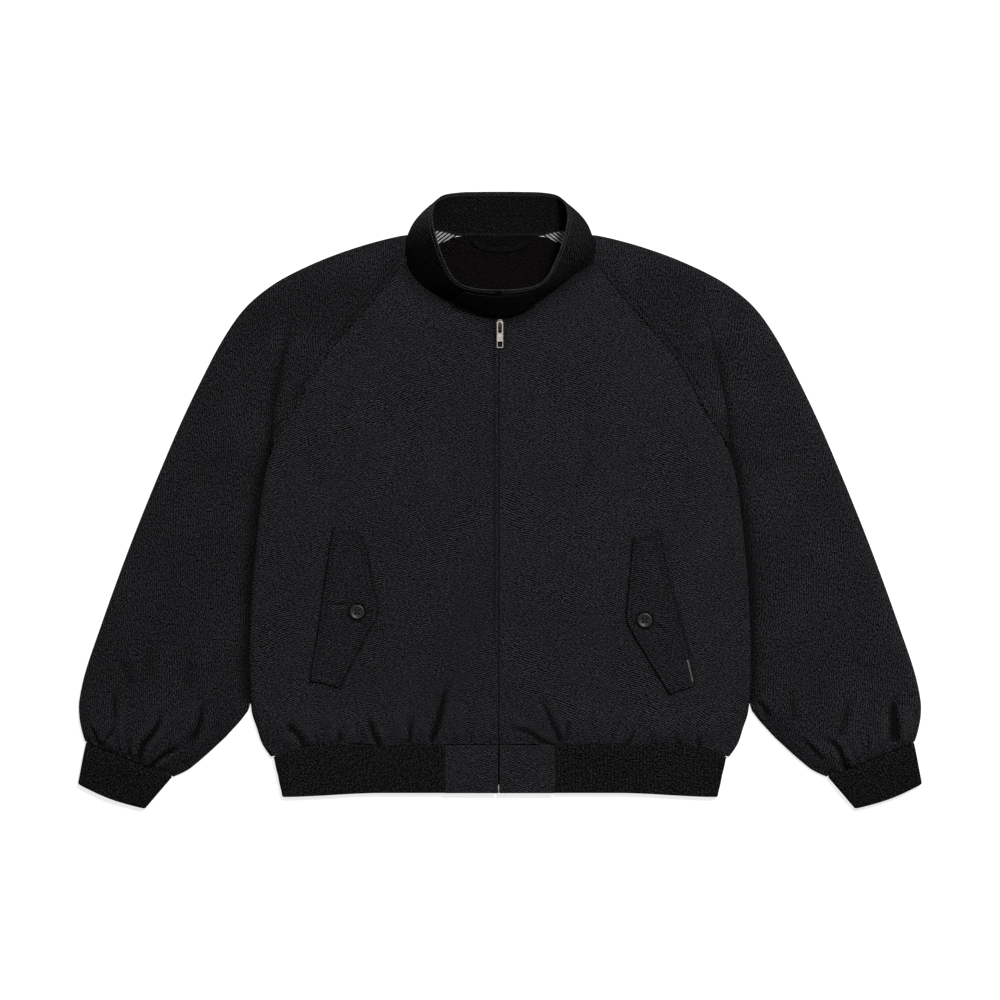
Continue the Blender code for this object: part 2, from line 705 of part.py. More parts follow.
def make_neck(looks, home):
    facing = [(50.5, 315.4), (72, 306.3), (92, 290), (104, 272), (84, 254), (60, 242), (30, 230)]
    facing += [(-x, y) for x, y in facing[::-1]]
    plate_object("back_facing", facing, cloth + gap, cloth + gap + 1.0, looks["facing"], home)
    for name, side in SIDES.items():
        corner = [(51.4, 315.4), (75, 315.6), (92, 313), (104, 300), (105, 276), (93, 290.6), (72.6, 306.9)]
        corner = [(side * x, y) for x, y in corner]
        plate_object(f"lining_{name}", corner, cloth + gap, cloth + gap + 0.8, looks["stripe"], home)
    middle = Path([(-32, 312), (-27, 306), (-16, 301.5), (0, 300.4), (17, 301.5), (28, 306), (33, 311)])
    shares = [i / 16 for i in range(17)]
    edge = [tuple(offset_line(middle, share, 3.2)) for share in shares]
    edge += [tuple(offset_line(middle, share, -3.2)) for share in shares[::-1]]
    low = cloth + gap + 1.0 + gap
    plate_object("hanger_loop", edge, low, low + 1.4, looks["facing"], home)


def make_pockets(looks, home, cutters):
    flap_low = body_top + gap
    button_low = flap_low + flap_thick + gap
    for name in SIDES:
        outline = round_corners(flap_corners[name], 4.0)
        plate_object(f"pocket_flap_{name}", outline, flap_low, flap_low + flap_thick, looks["cloth"], home)
        button = make_button(f"pocket_button_{name}", looks["button"], home, cutters)
        button.location = Vector((*button_places[name], button_low)) * MM
    top, bottom = Vector((226.6, -190.5)), Vector((233.0, -217.0))
    inward = Vector((-6.6, -1.6))
    label = [top, bottom, bottom + inward, top + inward]
    label_low = flap_low + flap_thick + gap
    plate_object("label_tab", label, label_low, label_low + 0.6, looks["label"], home)


def make_button(name, material, home, cutters):
    """A turned button with a dished face and four holes."""
    profile = [(0, button_thick - 0.7), (5.6, button_thick - 0.7), (6.4, button_thick - 0.1),
               (7.4, button_thick), (8.5, button_thick - 0.4), (button_radius, button_thick / 2),
               (8.3, 0.2), (7.2, 0), (0, 0)]
    mesh = bpy.data.meshes.new(name)
    shape = bmesh.new()
    verts = [shape.verts.new((x * MM, 0, z * MM)) for x, z in profile]
    for lower, upper in zip(verts, verts[1:]):
        shape.edges.new((lower, upper))
    shape.to_mesh(mesh)
    shape.free()
    button = add_object(name, mesh, material, home)
    turn = button.modifiers.new("Turn", "SCREW")
    turn.steps = 20
    turn.render_steps = 20
    turn.use_merge_vertices = True
    turn.merge_threshold = 0.00002
    turn.use_smooth_shade = True
    for i in range(4):
        angle = math.pi / 4 + math.pi / 2 * i
        hole_mesh = bpy.data.meshes.new(f"{name}_hole")
        hole_shape = bmesh.new()
        bmesh.ops.create_cone(hole_shape, cap_ends=True, segments=8, radius1=0.9 * MM, radius2=0.9 * MM,
                              depth=4 * button_thick * MM)
        hole_shape.to_mesh(hole_mesh)
        hole_shape.free()
        hole = bpy.data.objects.new(f"{name}_hole_{i}", hole_mesh)
        home.objects.link(hole)
        hole.parent = button
        hole.location = Vector((2.1 * math.cos(angle), 2.1 * math.sin(angle), 0)) * MM
        combine(button, hole, "DIFFERENCE", cutters)
    return button


def make_zip(looks, home, cutters):
    for name, side in SIDES.items():
        rows = []
        for row in tape_rows:
            shift = closure_shift(row.y)
            points = [(shift + side * x, row.y, row.top) for x in tape_x]
            rows.append(points[::-side])
        cloth_object(f"zip_tape_{name}", rows, tape_thick, looks["tape"], home)
    make_slider(looks, home, cutters)
    make_pull(looks, home, cutters)
    box_object("zip_pin", (closure_x - 0.7, -349, 7.4), (closure_x + 0.7, -341, 9.2), looks["metal"], home)


def make_slider(looks, home, cutters):
    """Slider: a plate under the tapes, a neck between them, a plate over them and the bridge."""
    start, end = slider_y
    axis_y, axis_z = pull_axis
    metal = looks["metal"]
    plan = [(-slider_half, end - 3), (-slider_half + 1.6, end), (slider_half - 1.6, end),
            (slider_half, end - 3), (slider_half - 1.4, start), (-slider_half + 1.4, start)]
    lower_top = tape_rows[0].top - tape_thick - gap
    upper_low = tape_rows[0].top + gap
    upper_top = axis_z - 1.6
    slider = prism_object("zip_slider", [(x, y, lower_top - 1.4) for x, y in plan], (0, 0, 1.4), metal, home)
    upper = prism_object("zip_slider_upper", [(x, y, upper_low) for x, y in plan],
                         (0, 0, upper_top - upper_low), metal, home)
    neck_plan = [(-1.6, end - 0.4), (1.6, end - 0.4), (1.6, end - 5), (-1.6, end - 5)]
    neck = prism_object("zip_slider_neck", [(x, y, lower_top - 0.5) for x, y in neck_plan],
                        (0, 0, upper_low - lower_top + 1.0), metal, home)
    foot = upper_top - 0.4
    top = axis_z + pull_bar + 0.5
    arch = [(end - 0.6, foot), (end - 0.6, top), (end - 1.8, top + 1.2), (start + 3.6, top + 1.2),
            (start + 2.2, top), (start + 2.2, foot), (start + 3.6, foot),
            (start + 3.8, top - 0.4), (start + 4.4, top), (axis_y + 1.7, top), (axis_y + 1.9, foot)]
    bridge = prism_object("zip_slider_bridge", [(-bridge_half, y, z) for y, z in arch],
                          (2 * bridge_half, 0, 0), metal, home)
    for extra in (neck, upper, bridge):
        combine(slider, extra, "UNION", cutters)


def make_pull(looks, home, cutters):
    """Pull tab, flat toward the hem, with its origin on the hinge."""
    axis_y, axis_z = pull_axis
    hinge = bpy.data.objects.new("zip_pull_hinge", None)
    hinge.location = Vector((0, axis_y, axis_z)) * MM
    home.objects.link(hinge)
    half = pull_thick / 2
    outline = [(-pull_half, -pull_length + pull_bar), (pull_half, -pull_length + pull_bar),
               (pull_half, pull_bar - 0.6), (pull_half - 0.8, pull_bar), (-pull_half + 0.8, pull_bar),
               (-pull_half, pull_bar - 0.6)]
    pull = plate_object("zip_pull", outline, -half, half, looks["metal"], home)
    mesh = bpy.data.meshes.new_from_object(pull.evaluated_get(bpy.context.evaluated_depsgraph_get()))
    bpy.data.objects.remove(pull)
    shape = bmesh.new()
    shape.from_mesh(mesh)
    bmesh.ops.remove_doubles(shape, verts=shape.verts, dist=0.00001)
    shape.to_mesh(mesh)
    shape.free()
    tab = bpy.data.objects.new("zip_pull", mesh)
    home.objects.link(tab)
    tab.parent = hinge
    holes = {"slot": ((-2.1, -11.4, -2), (2.1, -pull_bar, 2)),
             "eye": ((-2.6, -28.0, -2), (2.6, -22.6, 2))}
    for name, (low, high) in holes.items():
        cutter = box_object(f"zip_pull_{name}", low, high, looks["metal"], home)
        cutter.parent = hinge
        combine(tab, cutter, "DIFFERENCE", cutters)


def main():
    for item in list(bpy.data.objects):
        bpy.data.objects.remove(item)
    home = bpy.data.collections.new("harrington_jacket")
    cutters = bpy.data.collections.new("cutters")
    bpy.context.scene.collection.children.link(home)
    bpy.context.scene.collection.children.link(cutters)
    looks = {
        "cloth": paint("black_twill", (0.012, 0.012, 0.014), 0.85),
        "rib": paint("black_rib_knit", (0.008, 0.008, 0.009), 0.95),
        "facing": paint("black_facing", (0.008, 0.007, 0.007), 0.8),
        "stripe": paint("striped_lining", (0.42, 0.42, 0.42), 0.7),
        "button": paint("horn_button", (0.045, 0.045, 0.048), 0.4),
        "metal": paint("pale_nickel", (0.72, 0.68, 0.64), 0.25, 1.0),
        "tape": paint("black_zip_tape", (0.008, 0.008, 0.008), 0.9),
        "label": paint("woven_label", (0.02, 0.02, 0.02), 0.8),
    }
    make_back(looks, home)
    make_fronts(looks, home)
    make_sleeves(looks, home)
    make_hem(looks, home)
    make_cuffs(looks, home)
    make_collar(looks, home)
    make_neck(looks, home)
    make_pockets(looks, home, cutters)
    make_zip(looks, home, cutters)


main()
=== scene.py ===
import math

import bmesh
import bpy
import numpy as np
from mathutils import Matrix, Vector
from mathutils.bvhtree import BVHTree


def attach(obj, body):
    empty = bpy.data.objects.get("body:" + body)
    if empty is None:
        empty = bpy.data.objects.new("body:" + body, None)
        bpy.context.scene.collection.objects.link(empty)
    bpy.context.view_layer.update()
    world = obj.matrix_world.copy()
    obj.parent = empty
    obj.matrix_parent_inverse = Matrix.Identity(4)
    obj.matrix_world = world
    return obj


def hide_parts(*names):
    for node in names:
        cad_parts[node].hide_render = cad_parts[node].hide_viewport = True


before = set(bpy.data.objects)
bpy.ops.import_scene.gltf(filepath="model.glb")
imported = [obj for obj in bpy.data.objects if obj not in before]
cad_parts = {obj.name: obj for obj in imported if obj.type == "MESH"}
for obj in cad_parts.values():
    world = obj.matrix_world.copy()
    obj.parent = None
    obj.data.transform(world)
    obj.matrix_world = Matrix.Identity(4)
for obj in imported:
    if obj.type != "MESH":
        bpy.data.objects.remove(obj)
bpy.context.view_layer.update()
print("frame loaded with", len(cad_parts), "nodes")

# tables and sizes are in millimetres, points become metres when a mesh is made
# +x is the wearer's left, +y points to the collar, +z is up off the surface
mm = 0.001
sides = {"left": 1, "right": -1}
soft = {}        # the cloth pieces made so far, by name
trees = {}       # their faces, for what is laid on them

body = {
    "gap": 0.3,            # between pieces that touch
    "cloth": 1.5,          # lined cloth
    "top": 12.0,           # upper face of the fronts
    "edgeLift": 2.2,       # where an upper layer comes down on the lower one
    "sideRun": 9.0,        # the fronts round over to the side in this width
    "raised": 4.4,         # the fronts' edge where the sleeve runs under it
    "forkY": -252.0,       # below this the sleeves lie clear of the body
    "closureX": -1.5,      # the line where the fronts meet
    "closureHalf": 0.5,
    "sliderHalf": 5.5,     # half the opening round the slider
    "seamIn": -0.08,       # the fronts stop this far short of the raglan seam
    "underarmY": 70,
    "backRows": (315.7, 55),   # y of the back's rows beside the raglan seam
    "backCorner": (103, 314.5),
    "foldX": -6.6,         # the pressed fold beside the closure
    "mesh": 2.7,           # spacing of the points on the fronts
}
raglanSeam = [(113.6, 287), (140, 252), (172, 215), (203, 180), (226, 145), (246, 108), (271, 70)]
sideSeam = [(271, 70), (284, 23), (294, -60), (299, -120), (301, -200), (298, -253), (291.5, -274),
            (285.5, -292), (275, -308.2)]
# the fold between body and sleeve: y, x and how high its lowest line lies
valleyRows = [(230, 243, 12.0), (200, 250, 9.4), (160, 260, 6.2), (110, 270, 3.8), (70, 273, 2.2),
              (23, 285, 2.2), (-60, 295, 2.2), (-120, 300, 2.2), (-200, 302, 2.2), (-252, 302, 2.2),
              (-264, 311, 2.2), (-284, 329.5, 2.2), (-303, 350, 2.2), (-313, 361.5, 2.2),
              (-322, 372.5, 2.2), (-327.5, 383, 2.2), (-331.5, 393, 2.2)]
# the fronts from neck to hem: y at the zip, place on the seams (0 to 1 raglan, 1 to 2 side), neck bow
frontRows = [(217.7, 0, 1.0), (204, 1 / 7, 0.7), (189, 2 / 7, 0.45), (169, 3 / 7, 0.25),
             (144, 4 / 7, 0.12), (115, 5 / 7, 0.04), (83, 6 / 7, 0), (50, 1, 0), (6, 1.13, 0),
             (-52, 1.31, 0), (-120, 1.49, 0), (-185, 1.655, 0), (-235, 1.79, 0), (-258, 1.86, 0),
             (-275, 1.915, 0), (-286, 1.962, 0), (-292.5, 2, 0)]
# the sleeves from raglan seam to cuff: y at the underarm fold, place on the outer fold, raglan bow,
# height over the sleeve's usual top
sleeveRows = [(70, 116.2, 319.8, 1.0, 0), (66, 182, 299.4, 0.62, 0), (61, 234, 277.8, 0.34, 0),
              (54, 273, 256.2, 0.15, 0.3), (44, 305, 229, 0.05, 0.5), (30, 330.5, 193, 0, 0.5),
              (10, 354, 149, 0, 0.4), (-20, 381, 93, 0, 0.2), (-60, 408.5, 29, 0, 0),
              (-105, 434.5, -35, 0, 0), (-150, 458, -97, 0, 0.3), (-195, 480, -159, 0, 0.8),
              (-232, 496, -207, 0, 1.6), (-262, 503.2, -241, 0, 3.0), (-290, 503.2, -259, 0, 4.2),
              (-310, 501, -272, 0, 4.0), (-322, 498.6, -281.5, 0, 2.4), (-330.9, 496.2, -289.2, 0, -1.4)]
# the stand collar, half way round from the back to the front: base x y z, top x y z, bulge
collarRows = [(0, 316, 0, 0, 370, 0, 0), (30, 316.2, 0, 26, 369.8, 0, 0), (58, 317, 0, 50, 369, 1, 0.6),
              (84, 319.2, 0.4, 68.5, 365, 12, 4), (100, 320.5, 2.2, 77, 355.5, 26, 7),
              (111, 315, 6.2, 80.6, 340.2, 37, 7.5), (114.6, 299, 9, 77.9, 320, 42, 5),
              (112, 283.5, 10.3, 72.8, 302, 44.5, 3), (103.5, 267.5, 10.5, 66.3, 284, 47, 2),
              (89, 253.5, 10.5, 57.9, 266.6, 49, 2), (69, 241.5, 10.5, 46, 255.1, 50.5, 2),
              (46, 231, 10.5, 30.6, 250.5, 51, 2), (22, 222, 10.5, 14.8, 249, 51, 2),
              (0, 218, 10.5, 0, 248.6, 51, 2)]

# creases, listed one by one: width, height (a trough is below 0) and the line it follows
bodyCreases = [
    (3.4, -2.7, [(-159, -245), (-155, -269), (-147, -289), (-141, -304)]),
    (4.4, -2.0, [(-60, -205), (-66, -230), (-71, -253), (-75, -270), (-85, -295)]),
    (5, -1.9, [(-262, -256), (-246, -277), (-228, -301)]),
    (5, 1.5, [(-271, -292), (-257, -287), (-243, -286)]),
    (5, 1.3, [(-206, -238), (-203, -267), (-202, -289)]),
    (4.5, 1.2, [(-183, -255), (-178, -289)]),
    (6, 1.3, [(-125, -250), (-117, -289)]),
    (2.5, -1.3, [(-190, -272), (-194, -296)]),
    (2.6, -1.4, [(-106, -262), (-110, -295)]),
    (2.4, -1.1, [(-225, -271), (-217, -296)]),
    (5, 1, [(-95, -238), (-91, -286)]),
    (5, 1.1, [(-47, -226), (-51, -286)]),
    (2.4, -1.2, [(-33, -267), (-35, -293)]),
    (3.8, -2.0, [(37, -222), (51, -241), (63, -267), (77, -297)]),
    (2.6, -1.7, [(80, -253), (82, -292)]),
    (2.6, -1.7, [(163, -268), (153, -296)]),
    (2.8, -1.8, [(237, -277), (239, -298)]),
    (3, -2.2, [(2, -272), (20, -274), (37, -279), (50, -289), (68, -295)]),
    (4, 1.1, [(10, -266), (27, -267), (46, -274)]),
    (6, 1.3, [(121, -248), (125, -289)]),
    (6, 1.2, [(193, -253), (197, -289)]),
    (4, 1, [(103, -256), (106, -290)]),
    (2.4, -1.2, [(135, -269), (134, -295)]),
    (2.4, -1.2, [(181, -273), (183, -296)]),
    (2.6, -1.3, [(212, -272), (214, -296)]),
    (5, 1, [(255, -255), (257, -289)]),
    (9, -0.8, [(164, -164), (185, -181), (205, -202)]),
    (11, -0.6, [(-244, 113), (-225, 71), (-213, -1)]),
    (10, -0.5, [(241, 95), (229, 35), (224, -25)]),
    (12, -0.6, [(-95, 143), (-103, 59), (-98, -49)]),
    (12, -0.5, [(97, 179), (109, 83), (101, -1)]),
    (9, -0.6, [(-53, -145), (-62, -193), (-64, -229)]),
]
sleeveCreases = [
    (2.8, -2.3, [(-493, -261), (-484, -281), (-477, -297)]),
    (2.6, -2.3, [(-461, -261), (-464, -277), (-471, -285), (-477, -297)]),
    (4, -1.5, [(-459, -221), (-461, -244), (-460, -266)]),
    (3, 1.2, [(-454, -256), (-452, -293)]),
    (2.4, -1.7, [(-443, -289), (-443, -302), (-437, -310)]),
    (3.8, -3.6, [(-403, -245), (-409, -268), (-416, -280), (-427, -293), (-433, -315)]),
    (5, -1.7, [(-353, -229), (-358, -261), (-363, -277), (-375, -291)]),
    (3.2, -3.2, [(-375, -293), (-391, -299), (-400, -304), (-407, -309), (-423, -324)]),
    (4, 1.3, [(-395, -317), (-412, -313)]),
    (2.4, -1.5, [(-389, -314), (-370, -313)]),
    (4, 1.3, [(-471, -289), (-457, -295)]),
    (5, 1.3, [(-395, -281), (-380, -286)]),
    (9, -0.8, [(-417, -157), (-422, -193), (-423, -229)]),
    (8, -0.7, [(-367, -169), (-371, -199), (-374, -229)]),
    (5.5, -4, [(471, -234), (471, -262), (472, -293)]),
    (2.6, -1.9, [(479, -256), (477, -296)]),
    (2.4, -1.8, [(441, -273), (441, -304)]),
    (3.6, -3.6, [(382, -280), (403, -295), (411, -312), (420, -326)]),
    (2.4, -2, [(403, -310), (415, -326)]),
    (2.6, -2, [(501, -267), (499, -289)]),
    (4, 1.5, [(489, -245), (490, -279)]),
    (4, 1.2, [(457, -256), (457, -293)]),
    (4, 1.3, [(423, -280), (429, -309)]),
    (3, -1.7, [(358, -280), (375, -298), (389, -313)]),
    (5, -1.5, [(419, -226), (413, -265), (403, -289)]),
    (6, -1, [(349, -226), (353, -267)]),
    (10, -0.8, [(292, 64), (310, 45), (329, 35)]),
    (3.5, -2.1, [(307, -236), (315, -247), (326, -257)]),
    (3, -1.5, [(313, -251), (322, -263)]),
    (10, -0.4, [(-316, 95), (-328, 64), (-352, 35)]),
    (9, -0.3, [(-341, -25), (-359, -55), (-388, -73)]),
    (9, -0.4, [(349, -49), (368, -80), (394, -97)]),
    (8, -0.5, [(416, -169), (430, -195), (457, -207)]),
    (8, -0.8, [(-465, -183), (-446, -202), (-439, -229)]),
]
flapCreases = [
    (2, -1.2, [(-215, -123), (-197, -125), (-182, -124)]),
    (2.4, -1.4, [(-226, -215), (-211, -221), (-194, -225)]),
    (2.2, -1.1, [(181, -141), (191, -151), (201, -161)]),
    (3, 0.6, [(187, -73), (183, -97)]),
    (3.5, 0.6, [(-179, -73), (-184, -103)]),
]


# curves and distances

def smoothStep(value):
    value = np.clip(value, 0, 1)
    return value * value * (3 - 2 * value)


# rises from 0 to 1 past one place and falls back at another, each given with the width of its slope
def band(value, rise, fall):
    return smoothStep((value - rise[0]) / rise[1]) * smoothStep((fall[0] - value) / fall[1])


# 1 at distance 0, fading on both sides
def bell(distance, width):
    return np.exp(-(distance / width) ** 2)


def unit(vectors):
    return vectors / np.linalg.norm(vectors, axis=-1)[..., None]


# the length run at each point of a line, or down each column of a grid
def runLengths(points):
    steps = np.linalg.norm(np.diff(points, axis=0), axis=-1)
    return np.concatenate([np.zeros((1, *steps.shape[1:])), np.cumsum(steps, axis=0)])


# a quarter ellipse: 0 at the fold, 1 from run onward
def roundOver(distance, run):
    left = 1 - np.clip(np.asarray(distance, float) / run, 0, 1)
    return np.sqrt(1 - left * left)


# a smooth curve through rows of numbers, read at places between the stops
def readSmooth(rows, stops, places):
    rows = np.asarray(rows, float)
    stops = np.asarray(stops, float)
    last = len(stops) - 1
    before = np.maximum(np.arange(last + 1) - 1, 0)
    after = np.minimum(np.arange(last + 1) + 1, last)
    slopes = (rows[after] - rows[before]) / (stops[after] - stops[before])[:, None]
    places = np.clip(np.asarray(places, float), stops[0], stops[-1])
    i = np.clip(np.searchsorted(stops, places, side="right") - 1, 0, last - 1)
    span = (stops[i + 1] - stops[i])[..., None]
    t = (places - stops[i])[..., None] / span
    start = (2 * t**3 - 3 * t**2 + 1) * rows[i] + (t**3 - 2 * t**2 + t) * span * slopes[i]
    end = (3 * t**2 - 2 * t**3) * rows[i + 1] + (t**3 - t**2) * span * slopes[i + 1]
    return start + end


# a curve through points, read by shares of its length
def curveAt(points, shares):
    points = np.asarray(points, float)
    stops = runLengths(points)
    return readSmooth(points, stops, np.asarray(shares, float) * stops[-1])


# the same, moved to the left of the way it runs
def offsetCurve(points, shares, out):
    shares = np.asarray(shares, float)
    step = 0.004
    before, after = np.maximum(shares - step, 0), np.minimum(shares + step, 1)
    ahead = unit(curveAt(points, after) - curveAt(points, before))
    return curveAt(points, shares) + out * np.stack([-ahead[..., 1], ahead[..., 0]], axis=-1)


# distance from a line, its sign by side, and the share of the line where the nearest point lies
def nearLine(line, x, y):
    line = np.asarray(line, float)
    lengths = np.linalg.norm(np.diff(line, axis=0), axis=1)
    stops = runLengths(line)
    best = np.full(x.shape, 1e9)
    share = np.zeros(x.shape)
    side = np.ones(x.shape)
    for i, length in enumerate(lengths):
        way = (line[i + 1] - line[i]) / length
        along = (x - line[i, 0]) * way[0] + (y - line[i, 1]) * way[1]
        held = np.clip(along, 0, length)
        away = np.hypot(x - line[i, 0] - held * way[0], y - line[i, 1] - held * way[1])
        closer = away < best
        best = np.where(closer, away, best)
        share = np.where(closer, (stops[i] + held) / stops[-1], share)
        left = way[0] * (y - line[i, 1]) - way[1] * (x - line[i, 0])
        side = np.where(closer, np.where(left > 0, 1.0, -1.0), side)
    return best, side, share


# a crease has a lip on both sides and fades out at its ends; shares are of its width and length
crease = {"height": 1.5, "reach": 4, "start": 0.5, "end": 0.16, "lips": (0.42, 0.24), "lipOut": 2,
          "lipWidth": 0.9}


# height of a set of creases, seen from above
def creaseHeight(x, y, creases):
    total = np.zeros(x.shape)
    for width, height, points in creases:
        line = curveAt(points, np.linspace(0, 1, 12))
        reach = crease["reach"] * width
        low, high = line.min(axis=0) - reach, line.max(axis=0) + reach
        near = (x > low[0]) & (x < high[0]) & (y > low[1]) & (y < high[1])
        if not near.any():
            continue
        away, side, share = nearLine(line, x[near], y[near])
        fromLip = away - crease["lipOut"] * width
        lips = np.where(side > 0, *crease["lips"]) * bell(fromLip, crease["lipWidth"] * width)
        fade = band(share, (0, crease["start"]), (1, crease["end"]))
        total[near] += crease["height"] * height * (bell(away, width) - lips) * fade
    return total


# slow unevenness of cloth that lies loose, in waves of about this size
def unevenness(x, y, seed, size, height):
    draw = np.random.default_rng(seed)
    total = np.zeros(np.shape(x))
    for _ in range(7):
        angle = draw.uniform(0, math.pi)
        wave = 2 * math.pi / (size * draw.uniform(0.7, 1.6))
        phase = draw.uniform(0, 2 * math.pi)
        total += np.sin((x * math.cos(angle) + y * math.sin(angle)) * wave + phase)
    return total * height / 4


# from 0 to 1 in loose patches
def patches(x, y, seed, size, gain):
    return np.clip(0.5 + gain * unevenness(x, y, seed, size, 1.0), 0, 1)


pucker = {"width": (1.5, 2.6), "height": (-0.95, -0.4), "reach": (0.45, 1), "lean": (-2.5, 2.5),
          "step": (0.6, 1.5), "under": 2, "first": 2, "last": 3}


# small irregular puckers where cloth is gathered into a seam
def puckerRows(seed, start, end, reach, step):
    draw = np.random.default_rng(seed)
    start, end = np.array(start, float), np.array(end, float)
    length = np.linalg.norm(end - start)
    way = (end - start) / length
    up = np.array((-way[1], way[0]))
    rows = []
    place = draw.uniform(pucker["first"], step)
    while place < length - pucker["last"]:
        foot = start + way * place
        tip = foot + up * draw.uniform(*pucker["reach"]) * reach + way * draw.uniform(*pucker["lean"])
        width, height = draw.uniform(*pucker["width"]), draw.uniform(*pucker["height"])
        rows.append((width, height, [tuple(tip), tuple(foot - up * pucker["under"])]))
        place += draw.uniform(*pucker["step"]) * step
    return rows


# what a row of gathers adds at each place across a piece
def gatherHeight(place, gathers):
    return sum(height * bell(place - middle, 0.42 * width) for middle, width, height in gathers)


# the jacket's own lines

# the raglan seam: distance from it, its side and the share of its length
def raglanDistance(x, y):
    return nearLine(curveAt(raglanSeam, np.linspace(0, 1, 24)), np.abs(x), y)


# x and height of the lowest line between body and sleeve
def valleyAt(y):
    ys, xs, heights = np.array(valleyRows, float).T
    return np.interp(-y, -ys, xs), np.interp(-y, -ys, heights)


# x of the body's own edge, and of the sleeve's fold that lies against it down to the fork
def bodyEdgeAt(y):
    edge = curveAt(sideSeam, np.linspace(0, 1, 80))
    return np.interp(-y, -edge[:, 1], edge[:, 0])


def sleeveEdgeAt(y):
    free = smoothStep((-236 - y) / 18)
    return (bodyEdgeAt(y) + 0.05) * (1 - free) + (valleyAt(y)[0] + sleeve["foldGap"]) * free


# how far the sleeve runs on under the body's edge
def underBody(y):
    return band(y, (-250, 14), (68, 8))


# the closure runs a little to the wearer's right, but not at the slider
def closureShift(y):
    return body["closureX"] * (1 - smoothStep((y - 180) / 18))


def frontEdgeX(y, side):
    opening = (body["sliderHalf"] - body["closureHalf"]) * smoothStep((y - 195) / 8)
    return side * (body["closureHalf"] + opening) + closureShift(y)


hem = {"seamY": -293.0, "seamDrop": 16.0, "edgeY": -351.0, "edgeDrop": 4.8, "seamTop": 11.0, "edgeTop": 9.4,
       "halfSeam": 271.5, "halfEdge": 261.0, "knit": 2.0, "blockWidth": 66.0, "ribPitch": 4.3, "ribRise": 0.9,
       "rowPitch": 3.6, "stitchIn": 3.4}


# the hem hangs lower toward the sides
def hemDropAt(x):
    return smoothStep((np.abs(x) - 205) / 75) ** 2


# the seam wavers between the block and the side
def hemRipple(x):
    half = np.abs(x)
    waver = np.sin(x / 9.5) + 0.8 * np.sin(x / 5.7 + 1.3) + 0.6 * np.sin(x / 15.1 + 0.4)
    return 0.75 * waver * band(half, (hem["blockWidth"] + 2, 14), (272, 26))


# 1 where a piece's rows have come down to follow the hem seam
def followsHem(y):
    return smoothStep((-185 - y) / 100)


def hemSeamAt(x):
    return hem["seamY"] - hem["seamDrop"] * hemDropAt(x) + hemRipple(x)


# shares run from -1 to 1 about the back; the inner layer lies inset inside the outer one
collar = {"cloth": 1.2, "inset": 1.62, "innerCloth": 1.0, "height": 40, "mesh": 2.2, "stitchDown": 3.2,
          "stitchUp": 0.92, "centre": (0, 290), "raglanShare": 0.537, "shoulderShare": 0.405,
          "pulledIn": 14.0,
          "tabReach": (0.155, 0.19), "tabRows": (0.16, 0.87), "tabHeight": 23, "tabMesh": 1.8,
          "tabThick": 1.6, "tabEnd": 0.9962}


# a point of the collar's outer face, moved out from it where out is given; up runs from 0 to 1
def collarPoint(share, up, out=0.0):
    share, up = np.broadcast_arrays(np.asarray(share, float), np.asarray(up, float))
    row = curveAt(collarRows, np.abs(share))
    base, top = row[..., 0:3].copy(), row[..., 3:6].copy()
    inward = unit(np.array(collar["centre"]) - base[..., :2])
    pulled = band(share, (collar["raglanShare"], 0.1), (0.97, 0.3))
    base[..., :2] += inward * collar["pulledIn"] * pulled[..., None]
    base[..., 2] = np.maximum(base[..., 2], 0)
    top[..., 2] = np.maximum(top[..., 2], 0)
    point = base + (top - base) * up[..., None]
    away = point - np.array((*collar["centre"], 0))
    away[..., 2] = 0
    point += unit(away) * (row[..., 6] * np.sin(math.pi * up))[..., None]
    point[..., 0] *= np.where(share >= 0, 1, -1)
    if np.any(out):
        roundWay = collarPoint(share + 0.004, up) - collarPoint(share - 0.004, up)
        upWay = collarPoint(share, np.minimum(up + 0.02, 1)) - collarPoint(share, np.maximum(up - 0.02, 0))
        point -= unit(np.cross(roundWay, upWay)) * np.asarray(out)[..., None]
    return point


# the neck seam seen from above, moved outward
def neckLine(share, out):
    here = collarPoint(share, 0)
    ahead = collarPoint(np.minimum(share + 0.003, 1), 0) - collarPoint(share - 0.003, 0)
    away = unit(np.stack([ahead[..., 1], -ahead[..., 0]], axis=-1))
    outward = ((here[..., :2] - np.array(collar["centre"])) * away).sum(axis=-1)
    return here[..., :2] + away * (out * np.where(outward < 0, -1, 1))[..., None]


# meshes

# distances across a piece: close together at the edges, even between
def spreadPlaces(length, pitch, first=(0, 0.2, 0.6, 1.1, 1.8), last=(0, 0.2, 0.6, 1.1, 1.8)):
    length = np.asarray(length, float)
    count = max(2, int(round(float(np.max(length)) / pitch)))
    start = np.array(first, float)
    end = np.array(last, float)[::-1]
    between = np.linspace(0, 1, count + 1)[1:-1]
    shape = length[..., None]
    middle = start[-1] + (shape - start[-1] - end[0]) * between
    return np.concatenate([start + 0 * shape, middle, shape - end], axis=-1)


def gridNormals(grid):
    normals = np.cross(np.gradient(grid, axis=1), np.gradient(grid, axis=0))
    return normals / np.maximum(np.linalg.norm(normals, axis=-1)[..., None], 1e-9)


# a plan of x and y with its heights
def raised(plan, z):
    return np.concatenate([plan, z[..., None]], axis=-1)


# places in the weave of a grid whose columns and rows lie at these lengths
def weaveGrid(across, down):
    return np.stack(np.broadcast_arrays(across[None, :], down[:, None]), axis=-1)


# distance of each grid point from the nearest edge of the piece
def edgeDistance(grid, wrap=False):
    down = runLengths(grid)
    nearest = np.minimum(down, down[-1] - down)
    if not wrap:
        over = runLengths(grid.swapaxes(0, 1)).T
        nearest = np.minimum(nearest, np.minimum(over, over[:, -1:] - over))
    return nearest


tucked = {"sink": 1.85, "run": 1.4, "floor": 2.0, "shares": (1, 0.6, 0.25)}


